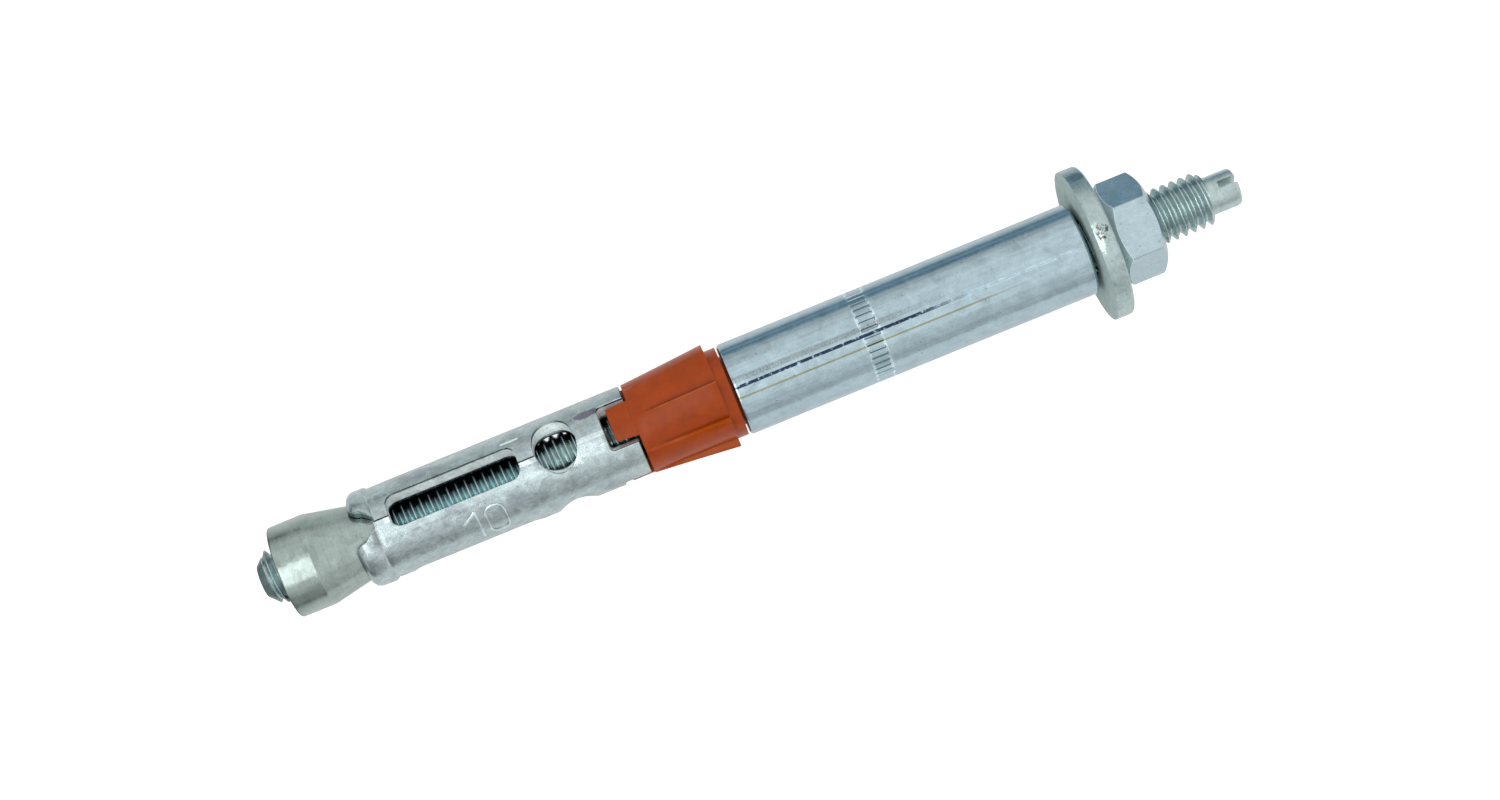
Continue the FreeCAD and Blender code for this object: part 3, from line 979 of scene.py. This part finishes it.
def around_axis(material, place):
    """A point's distance along the axis, its distance from it, and its angle about it in degrees
    from straight up, each as a (node, output)."""
    parts = add(material, "ShaderNodeSeparateXYZ", [("Vector", place, 0)])
    side = add(material, "ShaderNodeMath", [(0, parts, "Y")], operation="MULTIPLY", input_1=-1.0)
    turn = add(material, "ShaderNodeMath", [(0, side, 0), (1, parts, "Z")], operation="ARCTAN2")
    degrees = add(material, "ShaderNodeMath", [(0, turn, 0)], operation="DEGREES")
    flat = add(material, "ShaderNodeCombineXYZ", [("Y", parts, "Y"), ("Z", parts, "Z")])
    radius = add(material, "ShaderNodeVectorMath", [(0, flat, 0)], operation="LENGTH")
    return (parts, "X"), (radius, "Value"), (degrees, 0)


def pattern(material, place, size, detail=3.0, rough=0.55, drawn=(1.0, 1.0), distort=0.0):
    """A noise whose patches are about size metres wide, drawn out along or across the axis where a
    number of drawn is below 1."""
    along, across = (d / size for d in drawn)
    scaled = add(material, "ShaderNodeVectorMath", [(0, place, 0)], operation="MULTIPLY",
                 input_1=(along, across, across))
    return add(material, "ShaderNodeTexNoise", [("Vector", scaled, 0)], Scale=1.0, Detail=detail,
               Roughness=rough, Distortion=distort)


def flecks(material, place, size, low, high, **shape):
    """1 where a pattern is below low, falling to 0 where it is above high."""
    noise = pattern(material, place, size, **shape)
    return add(material, "ShaderNodeMapRange", [("Value", noise, 0)], From_Min=low, From_Max=high,
               To_Min=1.0, To_Max=0.0)


def blended(material, *shares):
    """The sum of some patterns, each taken by its share."""
    total = None
    for noise, share in shares:
        links = [(0, noise, 0), (2, total, 0)] if total else [(0, noise, 0)]
        total = add(material, "ShaderNodeMath", links, operation="MULTIPLY_ADD", input_1=share,
                    input_2=0.0)
    return total


def between(material, value, low, high, soft):
    """1 where a value, a (node, output), lies from low to high, falling to 0 over soft beyond
    them."""
    off = add(material, "ShaderNodeMath", [(0, *value)], operation="SUBTRACT",
              input_1=(low + high) / 2)
    size = add(material, "ShaderNodeMath", [(0, off, 0)], operation="ABSOLUTE")
    half = (high - low) / 2
    return add(material, "ShaderNodeMapRange", [("Value", size, 0)], From_Min=half,
               From_Max=half + soft, To_Min=1.0, To_Max=0.0)


def spot(material, place, middle, spans, ragged):
    """1 in a ragged patch about a point, in the anchor's frame, and 0 beyond its spans."""
    off = add(material, "ShaderNodeVectorMath", [(0, place, 0)], operation="SUBTRACT",
              input_1=middle)
    share = add(material, "ShaderNodeVectorMath", [(0, off, 0)], operation="DIVIDE", input_1=spans)
    reach = add(material, "ShaderNodeVectorMath", [(0, share, 0)], operation="LENGTH")
    edge = pattern(material, place, 0.5 * MM, detail=4.0, rough=0.7)
    worn = add(material, "ShaderNodeMath", [(0, edge, 0), (2, reach, "Value")],
               operation="MULTIPLY_ADD", input_1=2 * ragged)
    return add(material, "ShaderNodeMapRange", [("Value", worn, 0)], From_Min=0.7 + ragged,
               From_Max=1.0 + ragged, To_Min=1.0, To_Max=0.0, interpolation_type="SMOOTHSTEP")


def overlap(material, masks):
    """1 only where all of some masks are 1. A mask is a node, or what between() needs for one: a
    value, low, high and soft."""
    nodes = [between(material, *m) if isinstance(m, tuple) else m for m in masks]
    total = nodes[0]
    for node in nodes[1:]:
        total = add(material, "ShaderNodeMath", [(0, total, 0), (1, node, 0)],
                    operation="MULTIPLY")
    return total


def washed(material, tint, *washes):
    """Tints a colour by some washes. A wash is what each channel is multiplied by, and the masks
    that all have to be 1 there."""
    for channels, *masks in washes:
        amount = add(material, "ShaderNodeVectorMath", [(0, overlap(material, masks), 0)],
                     operation="MULTIPLY_ADD", input_1=[c - 1 for c in channels],
                     input_2=(1, 1, 1))
        tint = add(material, "ShaderNodeVectorMath", [(0, tint, 0), (1, amount, 0)],
                   operation="MULTIPLY")
    return tint


def toned(material, noise, base, low, high, dark, light):
    """A colour that runs from dark to light times the base, as a pattern runs from low to high."""
    share = add(material, "ShaderNodeMapRange", [("Value", noise, 0)], From_Min=low, From_Max=high,
                To_Min=dark, To_Max=light)
    return add(material, "ShaderNodeVectorMath", [(0, share, 0)], operation="MULTIPLY",
               input_1=list(base))


def plated(name, base, rough, patch, drawn, depth, marks=None, cloudy=1.0):
    """Zinc-plated steel: cloudy patches, fine lines drawn along or round the piece, small specks.
    patch is the size of its clouds, drawn the stretch of its lines along and across, depth the
    height of its waves, cloudy the contrast of its clouds. The marks function adds stains, and on
    some pieces painted shade and highlights, to its colour, and says where the steel is dull. Real
    draw lines and crystals of zinc are finer than 0.05 mm, so both are drawn as coarse as they need
    to show."""
    material = new_material(name)
    place = anchor_coordinates(material)
    clouds = pattern(material, place, patch, detail=5.0, rough=0.62, distort=0.8)
    lines = pattern(material, place, 0.25 * MM, rough=0.6, drawn=drawn)
    grain = pattern(material, place, 0.16 * MM, rough=0.75)
    tone = blended(material, (clouds, 0.5), (lines, 0.22), (grain, 0.28))
    tint = toned(material, tone, base, low=0.34, high=0.68, dark=1 - 0.28 * cloudy,
                 light=1 + 0.2 * cloudy)
    pits = flecks(material, place, 0.45 * MM, 0.27, 0.33, detail=2.0, rough=0.8)
    tint = washed(material, tint, ((0.62, 0.62, 0.64), pits))
    waves = pattern(material, place, 2.2 * patch, detail=2.0, rough=0.5)
    height = blended(material, (waves, 1.0), (clouds, 0.4), (lines, 0.05), (grain, 0.04))
    bump = add(material, "ShaderNodeBump", [("Height", height, 0)], Strength=1.0, Distance=depth)
    polish = add(material, "ShaderNodeMapRange", [("Value", clouds, 0)], From_Min=0.35,
                 From_Max=0.65, To_Min=0.8 * rough, To_Max=1.25 * rough)
    links = [("Normal", bump, 0)]
    dull = None
    if marks:
        tint, dull = marks(material, place, tint)
    if dull:
        polish = add(material, "ShaderNodeMath", [(0, dull, 0), (2, polish, 0)],
                     operation="MULTIPLY_ADD", input_1=DULL_ROUGHNESS)
        bare = add(material, "ShaderNodeMath", [(0, dull, 0)], operation="MULTIPLY_ADD",
                   input_1=-DULL_SHARE, input_2=1.0)
        links.append(("Metallic", bare, 0))
    shader = add(material, "ShaderNodeBsdfPrincipled",
                 [("Base Color", tint, 0), ("Roughness", polish, 0), *links], Metallic=1.0)
    add(material, "ShaderNodeOutputMaterial", [("Surface", shader, "BSDF")])
    return material


def thread_zinc(stud, at):
    """Rolled thread: an even satin, with painted shade where it shows inside the sleeve's window
    and hole, and a bright turned tip."""
    def painted_shade_and_bright_tip(material, place, tint):
        along, radius, degrees = around_axis(material, place)
        root = between(material, radius, 0.0, stud.root_radius + 0.05 * MM, 0.46 * MM)
        in_window = between(material, along, -83 * MM, -62.5 * MM, 0.8 * MM)
        in_hole = between(material, along, -61 * MM, -50 * MM, 0.8 * MM)
        edge = 0.05 * MM
        tint = washed(
            material, tint,
            ((1.04, 1.05, 1.04), root, (along, at.cone_back, at.thread_end, edge)),
            # painted shade in the roots where the thread shows in the sleeve's window
            ((0.72, 0.92, 0.96), root, in_window),
            # painted shade on the far side of the thread, in the window and in the hole, where the
            # sleeve's walls shade it
            ((0.2, 0.22, 0.25), (degrees, -140.0, -35.0, 24.0), in_window),
            ((0.2, 0.22, 0.25), (degrees, -140.0, -50.0, 24.0), in_hole),
            # the plain tip, turned bright
            ((1.04, 1.02, 1.0), (along, at.thread_end + edge, at.stud_tip + MM, edge)))
        return tint, None
    return plated("zinc_plated_rolled_thread", stud.zinc, rough=0.26, patch=1.2 * MM,
                  drawn=(1.0, 0.15), depth=0.006 * MM, marks=painted_shade_and_bright_tip)


def cone_steel(cone, at):
    """Turned and plated: a greenish satin with faint rings, so the eye reads a lathe's work."""
    return plated("zinc_plated_turned_steel", cone.steel, rough=0.22, patch=1.6 * MM,
                  drawn=(1.0, 0.12), depth=0.014 * MM)


def sleeve_zinc(sleeve, at):
    """Tumbled and bright: soft dents that break up the reflections of a pressed sheet, with smudges
    of dirt and a purple heat stain. Its punched walls are dull and pale: partly their sheared face,
    partly painted light against the shade in the openings. Painted shade lies in the bore, on the
    walls of the gaps at the tips and over the top above the window; painted highlights lie on the
    figures, along the lip beside each slit and in one streak between the window and the hole."""
    def smudges_and_painted_light(material, place, tint):
        along, radius, degrees = around_axis(material, place)
        tip, slit = at.sleeve_tip, math.degrees(sleeve.finger_turn)
        dirt = flecks(material, place, 3.2 * MM, 0.28, 0.5, detail=4.0, rough=0.65)
        heat = spot(material, place, (-54.9 * MM, 3.4 * MM, 3.5 * MM),
                    (1.7 * MM, 0.45 * MM, 0.8 * MM), ragged=0.6)
        wall = between(material, radius, sleeve.radius - 1.3 * MM, sleeve.radius - 0.35 * MM,
                       0.12 * MM)
        punched = overlap(material, [
            wall, (along, tip + 3.5 * MM, at.sleeve_front + MM, 0.2 * MM)])
        tint = washed(
            material, tint,
            ((0.72, 0.7, 0.74), dirt),
            # painted highlight: a bright streak between the window and the hole, where a small
            # raised mark catches the light
            ((2.6, 2.4, 2.3), (degrees, -51.0, -49.0, 1.0),
             (along, -64.2 * MM, -62.4 * MM, 0.15 * MM)),
            # the figures lightened where they stand out: partly rubbed, partly a painted highlight
            # that makes them show
            ((1.45, 1.42, 1.4), (radius, sleeve.radius + 0.08 * MM, sleeve.radius + MM, 0.03 * MM),
             (along, sleeve.figure_start - 0.5 * MM, sleeve.figure_start + 5.5 * MM, 0.1 * MM)),
            # painted highlight along the lip beside the slit
            ((1.45, 1.42, 1.4), (degrees, slit + 1.6, slit + 6.5, 1.0),
             (along, tip + 4 * MM, at.sleeve_front, 0.1 * MM)),
            ((0.5, 0.43, 0.52), heat),
            # painted shade: a greyer stretch over the top above the window, which dims the lamp's
            # highlight there
            ((0.74, 0.74, 0.74), (degrees, -4.0, 12.0, 6.0), (along, -80 * MM, -66 * MM, 4 * MM)),
            # painted shade in the bore
            ((0.12, 0.13, 0.15), (radius, 0.0, sleeve.bore_radius + 0.05 * MM, 0.15 * MM)),
            # painted shade on the walls of the gaps at the tips; the punched walls behind them are
            # made paler, partly for their dull sheared face and partly as painted light against the
            # shade in the openings
            ((0.35, 0.37, 0.37), wall, (along, tip - MM, tip + sleeve.gap_depth, 0.2 * MM)),
            ((1.85, 1.72, 1.66), punched))
        return tint, punched
    return plated("zinc_plated_pressed_sheet", sleeve.zinc, rough=0.25, patch=1.2 * MM,
                  drawn=(0.2, 1.0), depth=0.034 * MM, marks=smudges_and_painted_light, cloudy=1.3)


def tube_zinc(tube, at):
    """Drawn tube: bright and bluish, with long straight lines that show which way it was drawn.
    Along its top run a broken dark line, a yellowed line and a row of dark flecks; further round on
    its far side lie two painted reflections, dark lines. The floors of its pressed marks carry
    painted shade, and their ends are paler: burrs with a painted highlight."""
    def drawn(material, place, tint):
        along, radius, degrees = around_axis(material, place)
        back, dark_line = at.tube_back - MM, math.degrees(tube.dark_line_turn)
        start, end = tube.knurl_start, tube.knurl_start + tube.knurl_length
        bits = flecks(material, place, 0.14 * MM, 0.53, 0.65, rough=0.75, drawn=(0.2, 0.2))
        gaps = flecks(material, place, 0.13 * MM, 0.4, 0.52, rough=0.7, drawn=(0.12, 1.0))
        chatter = flecks(material, place, 0.12 * MM, 0.3, 0.75, rough=0.8, drawn=(1.0, 0.5))
        chips = flecks(material, place, 0.5 * MM, 0.45, 0.6)
        # lines along the tube: where they lie, half their width, their length, colour and breaks.
        # The first two are painted reflections, dark lines on the far side; the last two are the
        # dark line and the yellowed line along the top.
        for turn, half, reach, channels, *breaks in (
                (-57.0, 1.8, 40 * MM, (0.78, 0.8, 0.82), bits),
                (-49.2, 1.2, 40 * MM, (0.72, 0.76, 0.8), bits),
                (dark_line, 1.7, 21 * MM, (0.06, 0.08, 0.13), bits),
                (dark_line + 13.2, 0.8, 26 * MM, (0.7, 0.58, 0.34))):
            tint = washed(material, tint, (channels, (degrees, turn - half, turn + half, 0.6),
                                           (along, back, at.tube_back + reach, 6 * MM), *breaks))
        tint = washed(
            material, tint,
            # bright crumbs in the dark line
            ((1.25, 1.3, 1.35), (degrees, dark_line - 2.2, dark_line + 2.2, 0.5), gaps),
            ((0.5, 0.44, 0.42), chatter, (degrees, dark_line - 11.5, dark_line - 6.5, 2.0),
             (along, back, at.tube_back + 17 * MM, 8 * MM)),
            # painted shade on the floors of the pressed marks, and their ends made paler: burrs,
            # with a painted highlight
            ((0.9, 0.9, 0.9), (radius, tube.radius - 0.3 * MM, tube.radius - 0.1 * MM, 0.08 * MM),
             (along, start, end, 0.1 * MM)),
            *(((1.55, 1.45, 1.4), (along, x - 0.12 * MM, x + 0.12 * MM, 0.06 * MM), chips)
              for x in (start, end)))
        return tint, None
    return plated("zinc_plated_drawn_tube", tube.zinc, rough=0.15, patch=1.6 * MM,
                  drawn=(0.03, 1.0), depth=0.011 * MM, marks=drawn)


def washer_zinc(washer, at):
    """Punched and plated: a dull greenish plate with dark nicks where it was knocked about, and a
    painted highlight on its rim.
    """
    def nicks_and_painted_highlight(material, place, tint):
        along = around_axis(material, place)[0]
        nicks = flecks(material, place, 0.6 * MM, 0.3, 0.37, detail=4.0, rough=0.75,
                       drawn=(1.0, 0.6))
        chips = flecks(material, place, 0.35 * MM, 0.43, 0.5, rough=0.8)
        painted_highlight = spot(material, place, (0.35 * MM, 0.3 * MM, 8.2 * MM),
                     (0.5 * MM, 1.7 * MM, 0.8 * MM), ragged=0.8)
        scar = spot(material, place, (0.9 * MM, 0.6 * MM, 8.2 * MM),
                    (0.8 * MM, 1.2 * MM, 0.6 * MM), ragged=0.4)
        stain = spot(material, place, (MM, 7.0 * MM, 4.4 * MM),
                     (1.1 * MM, 0.8 * MM, 1.2 * MM), ragged=0.4)
        face = between(material, along, -0.02 * MM, 0.02 * MM, 0.02 * MM)
        tint = washed(
            material, tint,
            ((0.5, 0.46, 0.42), nicks),
            # painted highlight on the rim
            ((1.9, 1.75, 1.7), painted_highlight),
            ((0.2, 0.16, 0.13), scar, chips),
            ((0.55, 0.62, 0.66), stain),
            ((1.02, 1.02, 1.0), face))
        return tint, face
    return plated("zinc_plated_punched_steel", washer.zinc, rough=0.3, patch=1.0 * MM,
                  drawn=(1.0, 0.15), depth=0.014 * MM, marks=nicks_and_painted_highlight)


def nut_zinc(nut, at):
    """Pressed hexagon: smooth pale blue faces that each take one tone of the room, and dull crowned
    ends, made paler with painted light against the shade between nut and washer."""
    def crowned(material, place, tint):
        middle = at.nut_back + math.sqrt(nut.crown ** 2 - nut.face_radius ** 2)
        off = add(material, "ShaderNodeVectorMath", [(0, place, 0)], operation="SUBTRACT",
                  input_1=(middle, 0, 0))
        reach = add(material, "ShaderNodeVectorMath", [(0, off, 0)], operation="LENGTH")
        crown = between(material, (reach, "Value"), nut.crown - 0.04 * MM, nut.crown + MM,
                        0.02 * MM)
        # painted light: the crowned ends made paler, against the shade in the gap by the washer
        return washed(material, tint, ((1.6, 1.55, 1.5), crown)), crown
    return plated("zinc_plated_pressed_nut", nut.zinc, rough=0.24, patch=1.5 * MM,
                  drawn=(0.6, 1.0), depth=0.008 * MM, marks=crowned, cloudy=0.6)


def collar_plastic(collar, at):
    """Moulded nylon: one deep rust orange, slightly mottled, with a soft sheen and fine grain. A
    painted highlight runs along each ridge and painted shade along each valley."""
    material = new_material("moulded_orange_nylon")
    place = anchor_coordinates(material)
    clouds = pattern(material, place, 1.6 * MM, detail=4.0, rough=0.6)
    grain = pattern(material, place, 0.2 * MM, detail=2.0, rough=0.6)
    tint = toned(material, clouds, collar.plastic, low=0.3, high=0.7, dark=0.88, light=1.12)
    along, _, degrees = around_axis(material, place)
    fin = 360 / collar.fins
    from_ridge = add(material, "ShaderNodeMath", [(0, *degrees)], operation="SUBTRACT",
                     input_1=math.degrees(collar.fin_turn) - 2 * fin)
    share = add(material, "ShaderNodeMath", [(0, from_ridge, 0)], operation="FLOORED_MODULO",
                input_1=fin)
    run = overlap(material, [(along, at.ring_back - 6 * MM, at.ring_back - 0.1 * MM, 2 * MM),
                             (along, at.fins_back, at.ring_back, 0.02 * MM)])
    # a painted highlight along each ridge and painted shade along each valley, in degrees from the
    # ridge
    tint = washed(material, tint,
                  ((1.3, 1.7, 2.6), ((share, 0), 0.0, 1.1, 0.8), run),
                  ((0.74, 0.7, 0.7), ((share, 0), fin - 3.5, fin, 2.5), run))
    height = blended(material, (clouds, 1.0), (grain, 0.12))
    bump = add(material, "ShaderNodeBump", [("Height", height, 0)], Strength=1.0,
               Distance=0.02 * MM)
    shader = add(material, "ShaderNodeBsdfPrincipled",
                 [("Base Color", tint, 0), ("Normal", bump, 0)],
                 Roughness=0.28, Specular_IOR_Level=0.2)
    add(material, "ShaderNodeOutputMaterial", [("Surface", shader, "BSDF")])
    return material


# Each piece with its group of settings and the function that makes its material. Every such
# function gets that group and the layout.
MATERIALS = {
    "threaded_stud": ("stud", thread_zinc),
    "cone": ("cone", cone_steel),
    "expansion_sleeve": ("sleeve", sleeve_zinc),
    "collar": ("collar", collar_plastic),
    "distance_tube": ("tube", tube_zinc),
    "washer": ("washer", washer_zinc),
    "hex_nut": ("nut", nut_zinc),
}


class ANCHOR_OT_materials(bpy.types.Operator):
    """Gives each piece its material"""
    bl_idname = "anchor.materials"
    bl_label = "Materials"

    def execute(self, context):
        for piece, (group, finish) in MATERIALS.items():
            slots = bpy.data.objects[piece + "_finished"].data.materials
            slots.clear()
            slots.append(finish(*sizes(context, group, "layout")))
        return {"FINISHED"}


# The soft lights: a name, two corners in metres and the radiance.
PANELS = (
    ("overhead", (-0.17, -0.8, 0.9), (1.3, 1.3, 0.9), 0.88),
    ("overhead_window", (-0.25, -0.8, 0.9), (-0.17, 1.3, 0.9), 0.4),
    ("overhead_left", (-1.3, -0.8, 0.9), (-0.25, 1.3, 0.9), 0.88),
    ("overhead_near", (-1.3, -1.3, 0.9), (1.3, -0.8, 0.9), 0.7),
    ("near_wall_foot", (-0.15, -1.3, 0.0), (1.3, -1.3, 0.5), 0.48),
    ("near_wall_foot_middle", (-0.33, -1.3, 0.0), (-0.15, -1.3, 0.5), 0.25),
    ("near_wall_foot_left", (-1.3, -1.3, 0.0), (-0.33, -1.3, 0.5), 0.15),
    ("near_wall", (-0.15, -1.3, 0.5), (1.3, -1.3, 0.9), 0.64),
    ("near_wall_middle", (-0.33, -1.3, 0.5), (-0.15, -1.3, 0.9), 0.42),
    ("near_wall_left", (-1.3, -1.3, 0.5), (-0.33, -1.3, 0.9), 0.22),
    ("far_wall_foot", (-1.3, 1.3, 0.0), (1.3, 1.3, 0.3), 0.45),
    ("far_wall", (-1.3, 1.3, 0.3), (1.3, 1.3, 0.9), 0.68),
    ("left_wall", (-1.3, -1.3, 0.0), (-1.3, 1.3, 0.9), 0.62),
    ("right_wall", (1.3, -1.3, 0.0), (1.3, 1.3, 0.9), 0.7),
    ("cone_lamp", (-0.32, -0.55, 0.86), (-0.26, 0.22, 0.86), 7.0),
    ("sleeve_lamp", (-0.17, -0.27, 0.86), (-0.1, 0.35, 0.86), 2.3),
)


class ANCHOR_OT_stage(bpy.types.Operator):
    """Sets up the floor, the lights and the camera"""
    bl_idname = "anchor.stage"
    bl_label = "Stage"

    def execute(self, context):
        stage = sizes(context, "stage")
        deselect()
        bpy.ops.mesh.primitive_plane_add(size=2 * FLOOR, location=(0, 0, 0))
        floor = named("floor")
        floor.data.materials.append(self.paper(stage))
        # a white tent round the anchor, dimmer towards its foot, with two brighter lamps above
        for panel in PANELS:
            self.panel(*panel)
        self.world(context, stage)
        self.camera(context, stage)
        context.scene.view_settings.view_transform = "Standard"
        return {"FINISHED"}

    def paper(self, stage):
        """Matt white paper that burns out to white. In reflections it ends on the far side, where
        a darker table shows as a dark line along the metal."""
        material = new_material("matt_white_paper")
        ray = add(material, "ShaderNodeLightPath")
        place = add(material, "ShaderNodeTexCoord")
        parts = add(material, "ShaderNodeSeparateXYZ", [("Vector", place, "Object")])
        mirrored = between(material, (ray, "Is Glossy Ray"), 0.9, 1.1, 0.1)
        x, soft = (parts, "X"), stage.table_soft
        split, end = stage.table_split, stage.left_end
        far = between(material, (parts, "Y"), stage.edge_end, FLOOR,
                      stage.edge_end - stage.edge_start)
        white = list(stage.paper)
        tint = add(material, "ShaderNodeCombineXYZ", X=white[0], Y=white[1], Z=white[2])
        for table, *masks in ((stage.table, far, (x, split, FLOOR, soft)),
                              (stage.table_left, far, (x, end, split - soft, soft)),
                              (stage.table_end, (x, -FLOOR, end - soft, soft))):
            channels = [t / w for t, w in zip(table, white)]
            tint = washed(material, tint, (channels, *masks, mirrored))
        shader = add(material, "ShaderNodeBsdfDiffuse", [("Color", tint, 0)])
        far_off = add(material, "ShaderNodeVectorMath", [(0, place, "Object")], operation="LENGTH")
        burn = add(material, "ShaderNodeMapRange", [("Value", far_off, "Value")],
                   From_Min=stage.glow_near, From_Max=stage.glow_far, To_Min=stage.glow,
                   To_Max=1.0)
        glow = add(material, "ShaderNodeMath", [(0, ray, "Is Camera Ray"), (1, burn, 0)],
                   operation="MULTIPLY")
        light = add(material, "ShaderNodeEmission", [("Strength", glow, 0)])
        both = add(material, "ShaderNodeAddShader", [(0, shader, "BSDF"), (1, light, "Emission")])
        add(material, "ShaderNodeOutputMaterial", [("Surface", both, "Shader")])
        return material

    def panel(self, name, low, high, radiance):
        """A rectangular soft light between two corners, facing the anchor, of an even radiance."""
        low, high = Vector(low), Vector(high)
        place, span = (low + high) / 2, high - low
        facing = [Vector(f) for f in ((0, 0, -1), (0, 1, 0), (0, -1, 0), (1, 0, 0), (-1, 0, 0))]
        normal = max((f for f in facing if abs(f.dot(span)) < TINY), key=lambda f: f.dot(-place))
        turn = normal.to_track_quat("-Z", "Y")
        across = turn.inverted() @ span
        deselect()
        bpy.ops.object.light_add(type="AREA", location=place, rotation=turn.to_euler())
        lamp = named(name).data
        lamp.shape = "RECTANGLE"
        lamp.size, lamp.size_y = abs(across.x), abs(across.y)
        lamp.energy = math.pi * lamp.size * lamp.size_y * radiance

    def world(self, context, stage):
        """A faint even light from all round."""
        world = bpy.data.worlds.new("studio")
        context.scene.world = world
        world.use_nodes = True
        background = world.node_tree.nodes["Background"]
        background.inputs["Color"].default_value = (1, 1, 1, 1)
        background.inputs["Strength"].default_value = stage.fill

    def camera(self, context, stage):
        """A camera above the anchor, at the photograph's distance and scale, and rolled."""
        data = bpy.data.cameras.new("camera")
        camera = bpy.data.objects.new("camera", data)
        context.scene.collection.objects.link(camera)
        camera.matrix_world = (REST @ Matrix.Translation((stage.centre_x, stage.centre_y, 0))
                               @ Matrix.Rotation(stage.lean, 4, "Y")
                               @ Matrix.Translation((0, 0, stage.distance))
                               @ Matrix.Rotation(-stage.roll, 4, "Z"))
        pixels = stage.scale / MM * stage.distance
        data.sensor_fit = "HORIZONTAL"
        data.lens = pixels / stage.photo_width * data.sensor_width
        data.clip_start = stage.nearest
        context.scene.camera = camera


class ANCHOR_PT_panel(bpy.types.Panel):
    """Lists the anchor's pieces in the 3D view's sidebar"""
    bl_idname = "ANCHOR_PT_panel"
    bl_label = "Anchor"
    bl_space_type = "VIEW_3D"
    bl_region_type = "UI"
    bl_category = "Anchor"

    def draw(self, context):
        for operator in OPERATORS:
            self.layout.operator(operator.bl_idname)
        for group in GROUPS:
            box = self.layout.box()
            box.label(text=group.title())
            settings = sizes(context, group)
            for name in settings.__annotations__:
                box.prop(settings, name)


# The pieces come first, then their materials and the stage.
OPERATORS = (
    ANCHOR_OT_threaded_stud,
    ANCHOR_OT_cone,
    ANCHOR_OT_expansion_sleeve,
    ANCHOR_OT_collar,
    ANCHOR_OT_distance_tube,
    ANCHOR_OT_washer,
    ANCHOR_OT_hex_nut,
    ANCHOR_OT_materials,
    ANCHOR_OT_stage,
)


def register():
    for cls in (*GROUPS.values(), *OPERATORS, ANCHOR_PT_panel):
        bpy.utils.register_class(cls)
    for group, cls in GROUPS.items():
        setattr(bpy.types.Scene, "anchor_" + group, PointerProperty(type=cls))


def unregister():
    for group in GROUPS:
        delattr(bpy.types.Scene, "anchor_" + group)
    for cls in (ANCHOR_PT_panel, *reversed(OPERATORS), *reversed(GROUPS.values())):
        bpy.utils.unregister_class(cls)


def corners(box):
    """A box's two corners as plain lists of numbers."""
    return [[round(c, 6) for c in corner] for corner in box]


def main():
    register()
    for operator in OPERATORS:
        group, name = operator.bl_idname.split(".")
        getattr(getattr(bpy.ops, group), name)()


if __name__ == "__main__":
    main()
